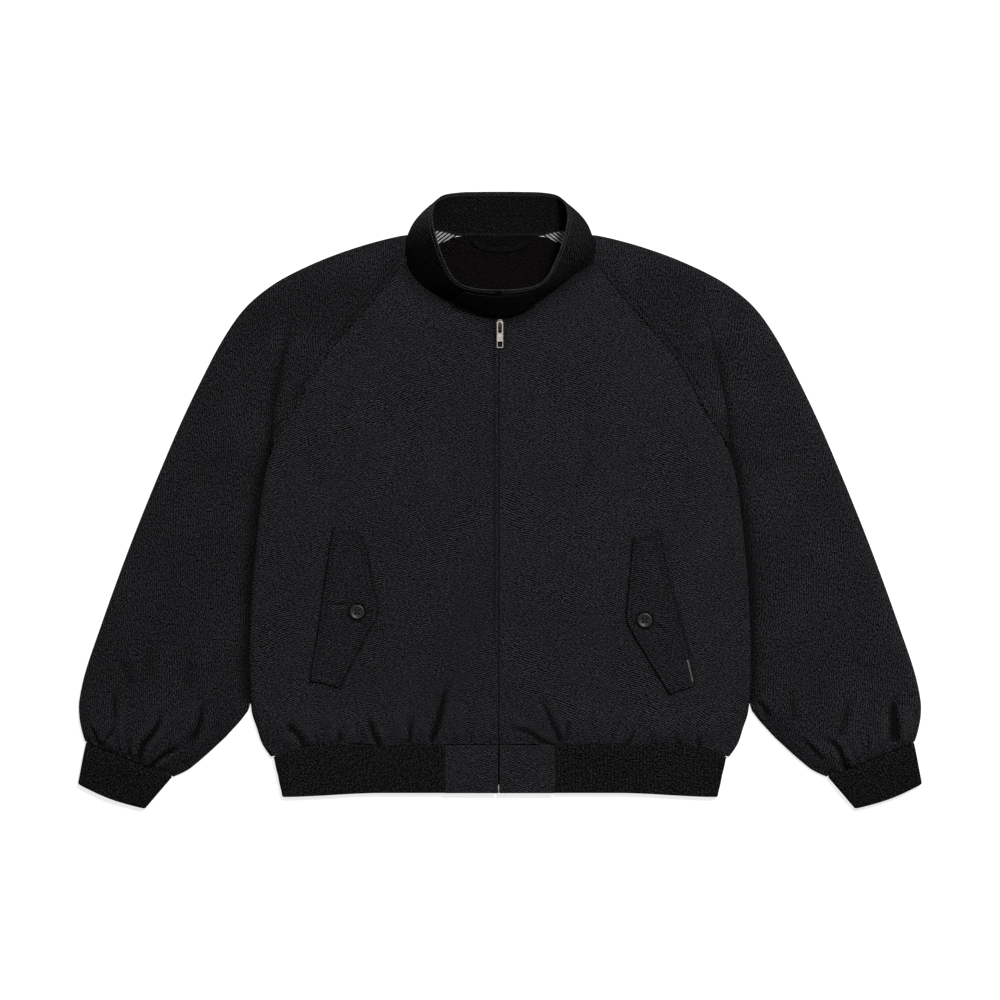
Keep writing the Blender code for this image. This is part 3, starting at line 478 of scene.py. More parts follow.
# carries a piece on past its first row, sunk under its neighbour
def tuckedUnder(grid, reach):
    sunk = grid[..., 2] - tucked["sink"] * (1 - roundOver(runLengths(grid), tucked["run"]))
    grid = raised(grid[..., :2], np.maximum(sunk, np.minimum(grid[..., 2], tucked["floor"])))
    ahead = grid[0] - grid[5]
    ahead[:, 2] = 0
    extra = [grid[0] + unit(ahead) * reach * share for share in tucked["shares"]]
    return np.concatenate([np.stack(extra), grid])


# faces of a grid of point numbers, and of the strip between two rows of them
def quads(numbers):
    corners = [numbers[:-1, :-1], numbers[:-1, 1:], numbers[1:, 1:], numbers[1:, :-1]]
    return np.stack(corners, axis=-1).reshape(-1, 4)


def strip(first, second):
    return np.stack([first[:-1], first[1:], second[1:], second[:-1]], axis=-1)


# values for the points of both faces of a piece: the place in the weave, and the wear with its painted shade
# and highlights
def pointValues(weave, wearAndShading, used=slice(None)):
    place = np.concatenate([np.reshape(weave, (-1, 2))] * 2)[used] * mm
    values = {"weavePlace": np.column_stack([place, np.zeros(len(place))])}
    if wearAndShading is not None:
        values["wearAndShading"] = np.concatenate([np.ravel(wearAndShading)] * 2)[used]
    return values


def keepCloth(name, item, outer, skin):
    soft[name] = item
    trees[name] = BVHTree.FromPolygons([tuple(p) for p in outer.reshape(-1, 3)], [tuple(f) for f in skin])


# cloth with a real wall: the outer face given by a grid of points, rounded over at its edges
def makeCloth(name, grid, wall, material, weave, rounding=1.1, flip=False, wearAndShading=None):
    normals = gridNormals(grid) * (-1 if flip else 1)
    rise = roundOver(edgeDistance(grid), rounding)[..., None]
    outer = grid - normals * wall / 2 * (1 - rise)
    inner = grid - normals * wall / 2 * (1 + rise)
    top = np.arange(grid.shape[0] * grid.shape[1]).reshape(grid.shape[:2])
    under = top + top.size
    for edge in (np.s_[0], np.s_[-1], np.s_[:, 0], np.s_[:, -1]):   # both faces share the points at the edges
        under[edge] = top[edge]
    skin, lining = quads(top), quads(under)[:, [0, 3, 2, 1]]
    if flip:
        skin, lining = skin[:, ::-1], lining[:, ::-1]
    points = np.concatenate([outer.reshape(-1, 3), inner.reshape(-1, 3)])
    faces = np.concatenate([skin, lining])
    used = np.unique(faces)
    renumber = np.zeros(len(points), int)
    renumber[used] = np.arange(len(used))
    item = meshObject(name, points[used], renumber[faces], material, pointValues(weave, wearAndShading, used))
    keepCloth(name, item, outer, skin)


# a mesh from points in millimetres, with values stored on its points
def meshObject(name, points, faces, material, values=None):
    mesh = bpy.data.meshes.new(name)
    mesh.from_pydata((np.asarray(points) * mm).tolist(), [], [list(map(int, face)) for face in faces])
    mesh.shade_smooth()
    for label, numbers in (values or {}).items():
        kind = "FLOAT_VECTOR" if np.ndim(numbers) == 2 else "FLOAT"
        layer = mesh.attributes.new(label, kind, "POINT")
        field = "vector" if kind == "FLOAT_VECTOR" else "value"
        layer.data.foreach_set(field, np.ravel(numbers).astype(np.float32))
    mesh.materials.append(material)
    item = bpy.data.objects.new(name, mesh)
    bpy.context.scene.collection.objects.link(item)
    return item


# finishes

class Nodes:
    # short calls for building a node tree
    def __init__(self, tree):
        self.tree = tree

    def add(self, kind, **settings):
        node = self.tree.nodes.new(kind)
        for label, value in settings.items():
            setattr(node, label, value)
        return node

    def link(self, start, end):
        self.tree.links.new(start, end)

    # a socket gets another socket's output or a plain value
    def feed(self, socket, value):
        if isinstance(value, bpy.types.NodeSocket):
            self.link(value, socket)
        else:
            socket.default_value = value

    def math(self, operation, *values, clamp=False):
        node = self.add("ShaderNodeMath", operation=operation, use_clamp=clamp)
        for socket, value in zip(node.inputs, values):
            self.feed(socket, value)
        return node.outputs[0]

    def mix(self, share, first, second):
        node = self.add("ShaderNodeMix", data_type="RGBA")
        self.feed(node.inputs["Factor"], share)
        self.feed(node.inputs["A"], first)
        self.feed(node.inputs["B"], second)
        return node.outputs["Result"]

    def noise(self, place, scale, detail):
        node = self.add("ShaderNodeTexNoise")
        self.feed(node.inputs["Vector"], place)
        self.feed(node.inputs["Scale"], scale)
        node.inputs["Detail"].default_value = detail
        return node.outputs["Fac"]

    # noise about 0
    def unrest(self, place, scale, detail):
        return self.math("SUBTRACT", self.noise(place, scale, detail), 0.5)

    def split(self, place):
        node = self.add("ShaderNodeSeparateXYZ")
        self.link(place, node.inputs[0])
        return node.outputs

    def turned(self, place, angle):
        node = self.add("ShaderNodeVectorRotate", rotation_type="Z_AXIS")
        self.feed(node.inputs["Vector"], place)
        self.feed(node.inputs["Angle"], angle)
        return self.split(node.outputs[0])


# a group and its sockets: a place has no default, a colour has four numbers
def newGroup(name, inputs, outputs):
    group = bpy.data.node_groups.new(name, "ShaderNodeTree")
    for label, value in inputs.items():
        kind = "Vector" if value is None else "Color" if isinstance(value, tuple) else "Float"
        socket = group.interface.new_socket(label, in_out="INPUT", socket_type="NodeSocket" + kind)
        if value is not None:
            socket.default_value = value
    for label, kind in outputs.items():
        group.interface.new_socket(label, in_out="OUTPUT", socket_type="NodeSocket" + kind)
    nodes = Nodes(group)
    return group, nodes, nodes.add("NodeGroupInput").outputs, nodes.add("NodeGroupOutput").inputs


# per metre: how fine each noise is; with it, how much it counts
weaveSizes = {"drift": 260.0, "sway": 9.0, "swayReach": 0.03, "stretch": 0.45, "streaks": (840.0, 8.2),
              "grain": (800.0, 6.6), "strength": 90.0, "shadeGain": 0.46, "shadeBase": 0.35}


# a twill: diagonal ribs broken up by grain that runs along them
def twillGroup():
    group, n, given, out = newGroup(
        "twill weave", {"Place": None, "Angle": 0.7, "Pitch": 0.002, "Slubs": 0.5, "Ribs": 3.0},
        {"Height": "Float", "Shade": "Float"})
    place, pitch, sizes = given["Place"], given["Pitch"], weaveSizes
    turned = n.turned(place, given["Angle"])
    drift = n.math("MULTIPLY", n.noise(place, sizes["drift"], 2.0), n.math("MULTIPLY", given["Slubs"], pitch))
    sway = n.math("MULTIPLY_ADD", n.noise(place, sizes["sway"], 1.0), sizes["swayReach"], drift)
    phase = n.math("DIVIDE", n.math("ADD", turned[1], sway), pitch)
    ribs = n.math("SINE", n.math("MULTIPLY", phase, 2 * math.pi))
    streaked = n.add("ShaderNodeCombineXYZ")
    n.link(n.math("MULTIPLY", turned[0], sizes["stretch"]), streaked.inputs[0])
    n.link(turned[1], streaked.inputs[1])
    streaks = n.unrest(streaked.outputs[0], sizes["streaks"][0], 1.0)
    grain = n.unrest(place, sizes["grain"][0], 1.0)
    grain = n.math("MULTIPLY", grain, sizes["grain"][1])
    short = n.math("ADD", grain, n.math("MULTIPLY", streaks, sizes["streaks"][1]))
    strength = n.math("MULTIPLY", n.noise(place, sizes["strength"], 2.0), given["Ribs"])
    height = n.math("ADD", n.math("MULTIPLY", ribs, strength), short)
    n.link(height, out["Height"])
    n.link(n.math("MULTIPLY_ADD", height, sizes["shadeGain"], sizes["shadeBase"], clamp=True), out["Shade"])
    return group


# knitted loops: small pointed rows along each rib
def knitGroup():
    group, n, given, out = newGroup(
        "rib knit loops", {"Place": None, "Rib": 0.0043, "Row": 0.0015},
        {"Height": "Float", "Groove": "Float", "Shade": "Float"})
    split = n.split(given["Place"])
    across = n.math("DIVIDE", split[0], given["Rib"])
    crest = n.math("COSINE", n.math("MULTIPLY", across, 2 * math.pi))
    lean = n.math("ABSOLUTE", n.math("SINE", n.math("MULTIPLY", across, 2 * math.pi)))
    down = n.math("ADD", n.math("DIVIDE", split[1], given["Row"]), n.math("MULTIPLY", lean, 0.8))
    loops = n.math("SINE", n.math("MULTIPLY", down, 2 * math.pi))
    fuzz = n.unrest(given["Place"], 520.0, 1.0)
    height = n.math("ADD", n.math("MULTIPLY", loops, 0.4), n.math("MULTIPLY", fuzz, 14.0))
    n.link(height, out["Height"])
    n.link(n.math("MULTIPLY_ADD", crest, 0.5, 0.5, clamp=True), out["Groove"])
    n.link(n.math("MULTIPLY_ADD", height, 0.45, 0.36, clamp=True), out["Shade"])
    return group


# slow changes of tone, a paler tone where the cloth is rubbed and for painted highlights, and painted shade
# that darkens it in its folds and sheltered places
def wearGroup():
    group, n, given, out = newGroup(
        "worn tone", {"Place": None, "Colour": (0.01, 0.01, 0.01, 1), "Rubbed": (0.03, 0.03, 0.03, 1),
                      "Edges": 0.0, "Variation": 0.2},
        {"Colour": "Color", "RubAndLight": "Float"})
    slow = n.unrest(given["Place"], 11.0, 3.0)
    patch = n.noise(given["Place"], 160.0, 4.0)
    rubAndLight = n.math("MULTIPLY", given["Edges"], n.math("MULTIPLY", patch, 1.5), clamp=True)
    # painted shade: where the value is below 0 the colour is scaled darker
    sunk = n.math("ADD", n.math("MINIMUM", given["Edges"], 0.0), 1.0)
    level = n.math("MULTIPLY", n.math("MULTIPLY_ADD", slow, given["Variation"], 1.0), sunk)
    scaled = n.add("ShaderNodeVectorMath", operation="SCALE")
    n.link(given["Colour"], scaled.inputs[0])
    n.link(level, scaled.inputs["Scale"])
    n.link(n.mix(rubAndLight, scaled.outputs[0], given["Rubbed"]), out["Colour"])
    n.link(rubAndLight, out["RubAndLight"])
    return group


groups = {"twill": twillGroup(), "knit": knitGroup(), "worn": wearGroup()}


def newMaterial(name):
    material = bpy.data.materials.new(name)
    material.use_nodes = True
    nodes = Nodes(material.node_tree)
    shader = material.node_tree.nodes["Principled BSDF"]
    return material, nodes, shader


def placed(nodes, label):
    return nodes.add("ShaderNodeAttribute", attribute_name=label).outputs


def groupNode(nodes, group, **values):
    node = nodes.add("ShaderNodeGroup", node_tree=group)
    for label, value in values.items():
        nodes.feed(node.inputs[label], value)
    return node.outputs


def bump(nodes, height, distance):
    node = nodes.add("ShaderNodeBump")
    node.inputs["Distance"].default_value = distance
    nodes.link(height, node.inputs["Height"])
    return node.outputs["Normal"]


# joins a finish to its shader; roughness is given as a mask, its share and the level it starts from
def finish(nodes, shader, colour, roughness, height, depth, gloss=None):
    nodes.link(colour, shader.inputs["Base Color"])
    nodes.link(nodes.math("MULTIPLY_ADD", *roughness), shader.inputs["Roughness"])
    nodes.link(bump(nodes, height, depth), shader.inputs["Normal"])
    if gloss is not None:
        shader.inputs["Specular IOR Level"].default_value = gloss


# lengths are in metres from here to the end of the finishes
# the rubbed tone is paler, and it also serves for painted highlights
twill = {"pitch": 0.0023, "slubs": 1.2, "ribs": 3.1, "bump": 0.0004, "rough": 0.86, "gloss": 0.07,
         "sheen": 0.01, "variation": 0.35, "dark": (0.0004, 0.0004, 0.0006, 1),
         "light": (0.0555, 0.0531, 0.0618, 1), "rubbed": (0.028, 0.028, 0.031, 1)}
sleeveTwill = {"pitch": 0.0027, "ribs": 1.395}


# changes replace values of the twill
def twillMaterial(name, angle, **changes):
    given = {**twill, **changes}
    material, n, shader = newMaterial(name)
    place = placed(n, "weavePlace")["Vector"]
    weave = groupNode(n, groups["twill"], Place=place, Angle=math.radians(angle), Pitch=given["pitch"],
                      Slubs=given["slubs"], Ribs=given["ribs"])
    base = n.mix(weave["Shade"], given["dark"], given["light"])
    worn = groupNode(n, groups["worn"], Place=place, Colour=base, Rubbed=given["rubbed"],
                     Edges=placed(n, "wearAndShading")["Fac"], Variation=given["variation"])
    finish(n, shader, worn["Colour"], (weave["Shade"], -0.12, given["rough"]), weave["Height"], given["bump"],
           given["gloss"])
    shader.inputs["Sheen Weight"].default_value = given["sheen"]
    shader.inputs["Sheen Roughness"].default_value = 0.5
    return material


knit = {"row": 0.0016, "bump": 0.0003, "gloss": 0.06, "variation": 0.5, "dark": (0.0008, 0.0008, 0.0009, 1),
        "light": (0.0320, 0.0312, 0.0330, 1), "rubbed": (0.022, 0.022, 0.023, 1)}


def knitMaterial():
    material, n, shader = newMaterial("black rib knit")
    place = placed(n, "weavePlace")["Vector"]
    loops = groupNode(n, groups["knit"], Place=place, Rib=hem["ribPitch"] * mm, Row=knit["row"])
    base = n.mix(loops["Shade"], knit["dark"], knit["light"])
    shaded = n.mix(n.math("MULTIPLY_ADD", loops["Groove"], 0.4, 0.6), knit["dark"], base)
    worn = groupNode(n, groups["worn"], Place=place, Colour=shaded, Rubbed=knit["rubbed"],
                     Edges=placed(n, "wearAndShading")["Fac"], Variation=knit["variation"])
    finish(n, shader, worn["Colour"], (loops["Shade"], -0.1, 1.0), loops["Height"], knit["bump"], knit["gloss"])
    return material


# lining stripes run on a slant; widths repeat over one band
stripe = {"band": 0.0037, "half": 0.26, "angle": 38, "pitch": 0.0006, "shade": (0.38, 0.38, 0.40, 1),
          "cloth": (0.55, 0.55, 0.57, 1), "line": (0.010, 0.010, 0.012, 1)}


def liningMaterial():
    material, n, shader = newMaterial("striped lining")
    place = placed(n, "weavePlace")["Vector"]
    angle = math.radians(stripe["angle"])
    turned = n.turned(place, angle)
    share = n.math("FRACT", n.math("DIVIDE", turned[1], stripe["band"]))
    lines = n.math("LESS_THAN", n.math("ABSOLUTE", n.math("SUBTRACT", share, 0.5)), stripe["half"])
    weave = groupNode(n, groups["twill"], Place=place, Angle=angle, Pitch=stripe["pitch"], Slubs=0.6)
    base = n.mix(lines, n.mix(weave["Shade"], stripe["shade"], stripe["cloth"]), stripe["line"])
    worn = groupNode(n, groups["worn"], Place=place, Colour=base, Rubbed=base, Edges=0.0, Variation=0.3)
    finish(n, shader, worn["Colour"], (weave["Shade"], -0.1, 0.75), weave["Height"], 0.0001, 0.3)
    return material


def threadMaterial(name, dark, light):
    material, n, shader = newMaterial(name)
    twist = n.noise(n.add("ShaderNodeTexCoord").outputs["Object"], 2200.0, 2.0)
    finish(n, shader, n.mix(twist, dark, light), (twist, 0.2, 0.5), twist, 0.0001, 0.3)
    return material


horn = {"dark": (0.006, 0.0058, 0.006, 1), "streak": (0.018, 0.0176, 0.018, 1),
        "pore": (0.038, 0.037, 0.038, 1), "wave": {"Scale": 90.0, "Distortion": 6.0, "Detail": 3.0}}


def hornMaterial():
    material, n, shader = newMaterial("dark horn button")
    place = n.add("ShaderNodeTexCoord").outputs["Object"]
    streaks = n.add("ShaderNodeTexWave", bands_direction="DIAGONAL")
    n.link(place, streaks.inputs["Vector"])
    for label, value in horn["wave"].items():
        streaks.inputs[label].default_value = value
    pores = n.noise(place, 1400.0, 3.0)
    base = n.mix(streaks.outputs["Fac"], horn["dark"], horn["streak"])
    colour = n.mix(n.math("MULTIPLY", pores, 0.35), base, horn["pore"])
    finish(n, shader, colour, (pores, 0.25, 0.28), pores, 0.00004, 0.35)
    return material


nickel = {"bright": (0.60, 0.56, 0.53, 1), "dull": (0.26, 0.22, 0.20, 1), "shadow": (0.05, 0.035, 0.03, 1),
          "bridgeHalf": 0.0022, "bridgeY": 0.2125}


# worn plating; the slider's body lies in the dark below its bridge
def nickelMaterial(name, bridge=False):
    material, n, shader = newMaterial(name)
    place = n.add("ShaderNodeTexCoord").outputs["Object"]
    stretch = n.add("ShaderNodeMapping")
    n.link(place, stretch.inputs["Vector"])
    stretch.inputs["Scale"].default_value = (1.0, 0.12, 1.0)
    brushed = n.noise(stretch.outputs[0], 2600.0, 3.0)
    tarnish = n.noise(place, 420.0, 4.0)
    tone = n.mix(n.math("MULTIPLY_ADD", tarnish, 2.4, -0.7, clamp=True), nickel["bright"], nickel["dull"])
    if bridge:
        split = n.split(place)
        below = n.math("LESS_THAN", split[1], nickel["bridgeY"])
        beside = n.math("GREATER_THAN", n.math("ABSOLUTE", split[0]), nickel["bridgeHalf"])
        tone = n.mix(n.math("MAXIMUM", below, beside), tone, nickel["shadow"])
    finish(n, shader, tone, (brushed, 0.22, 0.22), brushed, 0.00003)
    shader.inputs["Metallic"].default_value = 1.0
    return material


def tapeMaterial():
    material, n, shader = newMaterial("black zip tape")
    place = placed(n, "weavePlace")["Vector"]
    weave = groupNode(n, groups["twill"], Place=place, Angle=0.8, Pitch=0.0008, Slubs=0.3)
    colour = n.mix(weave["Shade"], (0.003, 0.003, 0.003, 1), (0.009, 0.009, 0.009, 1))
    finish(n, shader, colour, (weave["Shade"], -0.1, 0.85), weave["Height"], 0.0001, 0.2)
    return material


# one pale line is woven along the label's outer edge
woven = {"lineAt": 0.0046, "lineHalf": 0.0007, "line": (0.16, 0.16, 0.17, 1),
         "dark": (0.006, 0.006, 0.007, 1), "light": (0.02, 0.02, 0.021, 1)}


def labelMaterial():
    material, n, shader = newMaterial("woven label")
    place = placed(n, "weavePlace")["Vector"]
    fromLine = n.math("SUBTRACT", n.split(place)[0], woven["lineAt"])
    line = n.math("LESS_THAN", n.math("ABSOLUTE", fromLine), woven["lineHalf"])
    weave = groupNode(n, groups["twill"], Place=place, Angle=0.0, Pitch=0.0006, Slubs=0.2)
    colour = n.mix(line, n.mix(weave["Shade"], woven["dark"], woven["light"]), woven["line"])
    finish(n, shader, colour, (weave["Shade"], -0.15, 0.8), weave["Height"], 0.0001, 0.25)
    return material


looks = {
    "bodyLeft": twillMaterial("black twill, left front", 22),
    "bodyRight": twillMaterial("black twill, right front", -20),
    "sleeveLeft": twillMaterial("black twill, left sleeve", 97, **sleeveTwill,
                                light=(0.0535, 0.0512, 0.0595, 1)),
    "sleeveRight": twillMaterial("black twill, right sleeve", 87, **sleeveTwill,
                                 light=(0.0470, 0.0450, 0.0523, 1)),
    "flapLeft": twillMaterial("black twill, left flap", 16),
    "flapRight": twillMaterial("black twill, right flap", -14),
    # the collar and its inside take darker copies of the twill, as painted shade; the collar's paler tone for
    # rubbed places also gives its painted highlights
    "collar": twillMaterial("black twill, collar", -38, dark=(0.0004, 0.0004, 0.0005, 1), sheen=0.0,
                            gloss=0.05, light=(0.0250, 0.0241, 0.0277, 1), rubbed=(0.048, 0.047, 0.051, 1)),
    "collarInside": twillMaterial("black twill, inside of collar", -38, dark=(0.0003, 0.0003, 0.0003, 1),
                                  sheen=0.0, gloss=0.08, light=(0.0145, 0.0140, 0.0155, 1),
                                  rubbed=(0.036, 0.035, 0.039, 1)),
    "facing": twillMaterial("black facing", -38, dark=(0.0003, 0.0002, 0.0002, 1), sheen=0.0, gloss=0.04,
                            light=(0.0148, 0.0118, 0.0126, 1)),
    "knit": knitMaterial(),
    "lining": liningMaterial(),
    "thread": threadMaterial("black thread", (0.010, 0.010, 0.011, 1), (0.040, 0.040, 0.043, 1)),
    "rimThread": threadMaterial("grey thread", (0.030, 0.029, 0.032, 1), (0.085, 0.083, 0.090, 1)),
    "holeThread": threadMaterial("dark thread", (0.002, 0.002, 0.002, 1), (0.010, 0.010, 0.010, 1)),
    "horn": hornMaterial(),
    "nickel": nickelMaterial("pale nickel"),
    "slider": nickelMaterial("pale nickel, slider", bridge=True),
    "tape": tapeMaterial(),
    "label": labelMaterial(),
    "teeth": threadMaterial("black nylon coil", (0.004, 0.004, 0.004, 1), (0.014, 0.014, 0.014, 1)),
}
print("finishes made:", len(looks))


# pieces

# height and width of what shows on the body's cloth
relief = {"seam": (0.32, 9), "sewn": (-0.3, 1.1), "pressed": (-0.95, 1.3), "step": (-0.5, 1.5)}


# height of everything that lies over the body: creases, puckers and slow unevenness
def bodyDetail(x, y):
    away, seamSide, share = raglanDistance(x, y)
    height, width = relief["seam"]
    seam = height * unevenness(x, y, 5, 17, 1.0) * bell(away, width) * band(share, (0, 1 / 12), (1, 1 / 12))
    height, width = relief["sewn"]
    sewn = height * bell(away - stitch["besideSeam"], width) * (seamSide > 0) * smoothStep(share * 20)
    height, width = relief["pressed"]
    pressed = height * bell(x - body["foldX"], width) * band(y, (-190, 60), (190, 30))
    height, width = relief["step"]
    overlap = (x < body["closureX"]) * smoothStep((y + 250) / 80)
    step = height * smoothStep((x - body["foldX"]) / width) * overlap
    slow = unevenness(x, y, 21, 110, 0.45) + unevenness(x, y, 8, 38, 0.12) * np.where(x > 0, 1.5, 0.5)
    return creaseHeight(x, y, bodyCreases) + seam + sewn + pressed + step + slow


hemPuckers = (puckerRows(11, (-262, -297), (-70, -294), 17, 9)
              + puckerRows(12, (-66, -294), (66, -294), 8, 13)
              + puckerRows(13, (70, -294), (262, -297), 17, 9))
# gathers above the hem: place across, width, height
hemWaves = [(22, 15, 1.0), (50, 17, 1.5), (78, 14, 1.1), (118, 22, 1.4), (158, 19, 1.8), (196, 22, 1.3),
            (228, 15, 1.7), (258, 17, 1.1)]


# how the fronts fill out above the hem seam: each run is a distance from the seam or the side
fill = {"puff": 2.2, "puffRun": (50, 24), "puffSide": 40, "sinkRun": 16, "waves": 0.4, "waveRun": (46, 30),
        "waveSide": 20, "detailSide": 9}


# upper face of the fronts
def frontHeight(x, y):
    half = np.abs(x)
    edgeX, floor = valleyAt(np.maximum(y, body["forkY"]))
    edgeX = np.where(y < body["underarmY"], bodyEdgeAt(y), edgeX)
    floor = floor + (body["raised"] - body["edgeLift"]) * underBody(y)
    above, inward = y - hem["seamY"], edgeX - half
    near, waveNear = (smoothStep((end - above) / run) for end, run in (fill["puffRun"], fill["waveRun"]))
    puff = fill["puff"] * near * smoothStep(inward / fill["puffSide"])
    sink = (body["top"] + fill["puff"] - hem["seamTop"]) * smoothStep(1 - above / fill["sinkRun"])
    waves = fill["waves"] * gatherHeight(half, hemWaves) * waveNear * (0.35 + 0.65 * smoothStep(above / 8))
    top = body["top"] + puff - sink + waves * smoothStep(inward / fill["waveSide"])
    lift = bodyDetail(x, y) + creaseHeight(x, y, hemPuckers)
    rounded = floor + (top - floor) * roundOver(inward, body["sideRun"])
    return rounded + lift * smoothStep(inward / fill["detailSide"])


# places from 0 to run, close together where the cloth rounds over at the end
def roundedPlaces(run, count):
    return run * (1 - np.cos(math.pi / 2 * np.arange(count) / (count - 1)))


def frontGrid(side):
    table = np.array(frontRows, float)
    centres = spreadPlaces(table[0, 0] - table[-1, 0], body["mesh"])
    places = np.interp(centres, table[0, 0] - table[:, 0], np.arange(len(table)))
    centreY, edge, neck = readSmooth(table, np.arange(len(table)), places).T
    neck = np.clip(neck, 0, 1)[:, None]
    raglan = offsetCurve(raglanSeam, np.clip(edge, 0, 1), body["seamIn"])
    outer = np.where((edge <= 1)[:, None], raglan, curveAt(sideSeam, np.clip(edge - 1, 0, 1)))
    centre = np.stack([frontEdgeX(centreY, side) * side, centreY], axis=1)
    line = outer - centre
    length = np.linalg.norm(line, axis=1)
    inner = spreadPlaces(length - body["sideRun"], body["mesh"], last=(0,))
    rounding = length[:, None] - roundedPlaces(body["sideRun"], 9)[::-1]
    share = np.concatenate([inner[:, :-1], rounding], axis=1) / length[:, None]
    x = centre[:, :1] + line[:, :1] * share
    y = centre[:, 1:] + line[:, 1:] * share
    low = followsHem(centreY)[:, None]
    y = y + line[:, 1:] * (hemDropAt(x) - share) * low + hemRipple(side * x) * low ** 4
    corner = offsetCurve(raglanSeam, 0.0, body["seamIn"])     # the first rows follow the neck seam
    straight = centre[0] + (corner - centre[0]) * share[..., None]
    curved = neckLine(side * (1 - (1 - collar["raglanShare"]) * share), body["gap"])
    curved[..., 0] *= side
    curved[..., 0] += (1 - smoothStep(share / 0.14)) * np.maximum(straight[..., 0] - curved[..., 0], 0)
    x, y = x + neck * (curved[..., 0] - straight[..., 0]), y + neck * (curved[..., 1] - straight[..., 1])
    return tuckedUnder(np.stack([side * x, y, frontHeight(side * x, y)], axis=-1), 3.0)


# how much edges and crests are rubbed paler, and how much painted shade falls in crease troughs
marks = {"edge": 0.6, "edgeWidth": 1.6, "crest": 0.4, "crestTop": 1.5, "trough": 0.42, "troughFrom": 0.6,
        "darkest": -0.8}


# rubbed places are above 0, near edges and on crests; painted shade is below 0, in crease troughs and in the
# sunk places given
def wornPlaces(grid, detail, sunk=0.0):
    edge = marks["edge"] * bell(edgeDistance(grid), marks["edgeWidth"])
    rubbed = np.clip(edge + marks["crest"] * np.clip(detail, 0, marks["crestTop"]), 0, 1)
    dim = marks["trough"] * np.minimum(detail + marks["troughFrom"], 0)
    return np.clip(rubbed + dim - sunk, marks["darkest"], 1)


flaps = {
    "right": {"sewn": [(-198.6, -34.2), (-204, -62), (-209.5, -100), (-218, -160), (-227.4, -216.6)],
              "free": [(-173, -37), (-160.5, -60), (-154, -98), (-147, -135), (-160, -160), (-192.6, -225)]},
    "left": {"free": [(159.5, -46.5), (156, -90), (151.8, -134), (153.4, -148), (175, -186), (203.4, -232.2)],
             "sewn": [(190.2, -38), (199, -84), (211, -128), (224, -180), (233.4, -222)]}}


# how much light is kept out of each sheltered place, and how wide that reaches
shelter = {"collar": (0.5, 10), "slider": (0.5, 9), "fold": (0.45, 1.4), "besideFlap": (0.75, 2.3),
           "hem": (0.55, 6), "seam": (0.5, 2.2), "underarm": (0.66, 9.5), "cuff": (0.6, 6),
           "valley": (0.5, 6),
           "sewn": (0.45, 1.6), "sleeveSeam": (0.3, 2.2), "button": (0.85, 2.4), "flapStitch": (0.25, 1.2),
           "flapEdge": (0.85, 1.5)}


def dimmed(place, distance):
    return shelter[place][0] * bell(distance, shelter[place][1])


# painted shade where little light gets in: under the collar's front, round the slider, along the fold and
# beside the flaps, and in patches above the hem seam and beside the raglan seam
def frontSunk(x, y, side):
    sunk = dimmed("collar", nearLine(neckLine(side * np.linspace(0.56, 1, 34), body["gap"]), x, y)[0])
    sunk += dimmed("slider", x) * smoothStep((y - 172) / 26)
    sunk += dimmed("fold", x - body["foldX"]) * smoothStep((y + 190) / 60)
    for line in flaps["left" if side > 0 else "right"].values():
        sunk += dimmed("besideFlap", nearLine(curveAt(line, np.linspace(0, 1, 20)), x, y)[0])
    patchy = patches(x, y, 74, 19, 0.8) * smoothStep((np.abs(x) - 60) / 20)
    sunk += patchy * dimmed("hem", y - hemSeamAt(x))
    return sunk + patches(x, y, 75, 30, 0.9) * dimmed("seam", raglanDistance(x, y)[0])


def makeFronts():
    for name, side in sides.items():
        grid = frontGrid(side)
        x, y = grid[..., 0], grid[..., 1]
        detail = bodyDetail(x, y) + creaseHeight(x, y, hemPuckers)
        look = looks["bodyLeft" if side > 0 else "bodyRight"]
        wearAndShading = wornPlaces(grid, detail, frontSunk(x, y, side))
        makeCloth(f"front_{name}_cloth", grid, body["cloth"], look, grid[..., :2], 1.3, side > 0, wearAndShading)
        print("front", name, grid.shape)


sleeve = {"top": 11.0, "innerRun": 34.0, "innerRound": 7, "outerRun": 22.0, "foldGap": 0.9, "mesh": 2.8,
          "columns": 56, "seamOut": 0.1, "lowLift": 1.4, "roundness": 0.3, "gathers": 0.4, "under": 2.6,
          "underarmY": 66, "underBody": (3.0, 1.8, 0.8), "underEdge": (0.3, 0.2, 0.1)}
# gathers above the cuff: place across, width, height
cuffWaves = [(14, 10, 1.6), (31, 9, 1.2), (47, 10, 2.0), (63, 8, 1.5), (78, 9, 2.2), (92, 8, 1.6),
             (104, 8, 1.2)]
cuffSeam = [(393, -332), (496.4, -290.4)]
sleevePuckers = {
    "left": puckerRows(31, (394, -332), (495, -291), 13, 8),
    "right": puckerRows(32, (-495, -291), (-394, -332), 13, 8)}


def sleeveDetail(x, y, name):
    slow = unevenness(x, y, 33, 95, 0.5) + unevenness(x, y, 34, 34, 0.14)
    return creaseHeight(x, y, sleeveCreases) + creaseHeight(x, y, sleevePuckers[name]) + slow


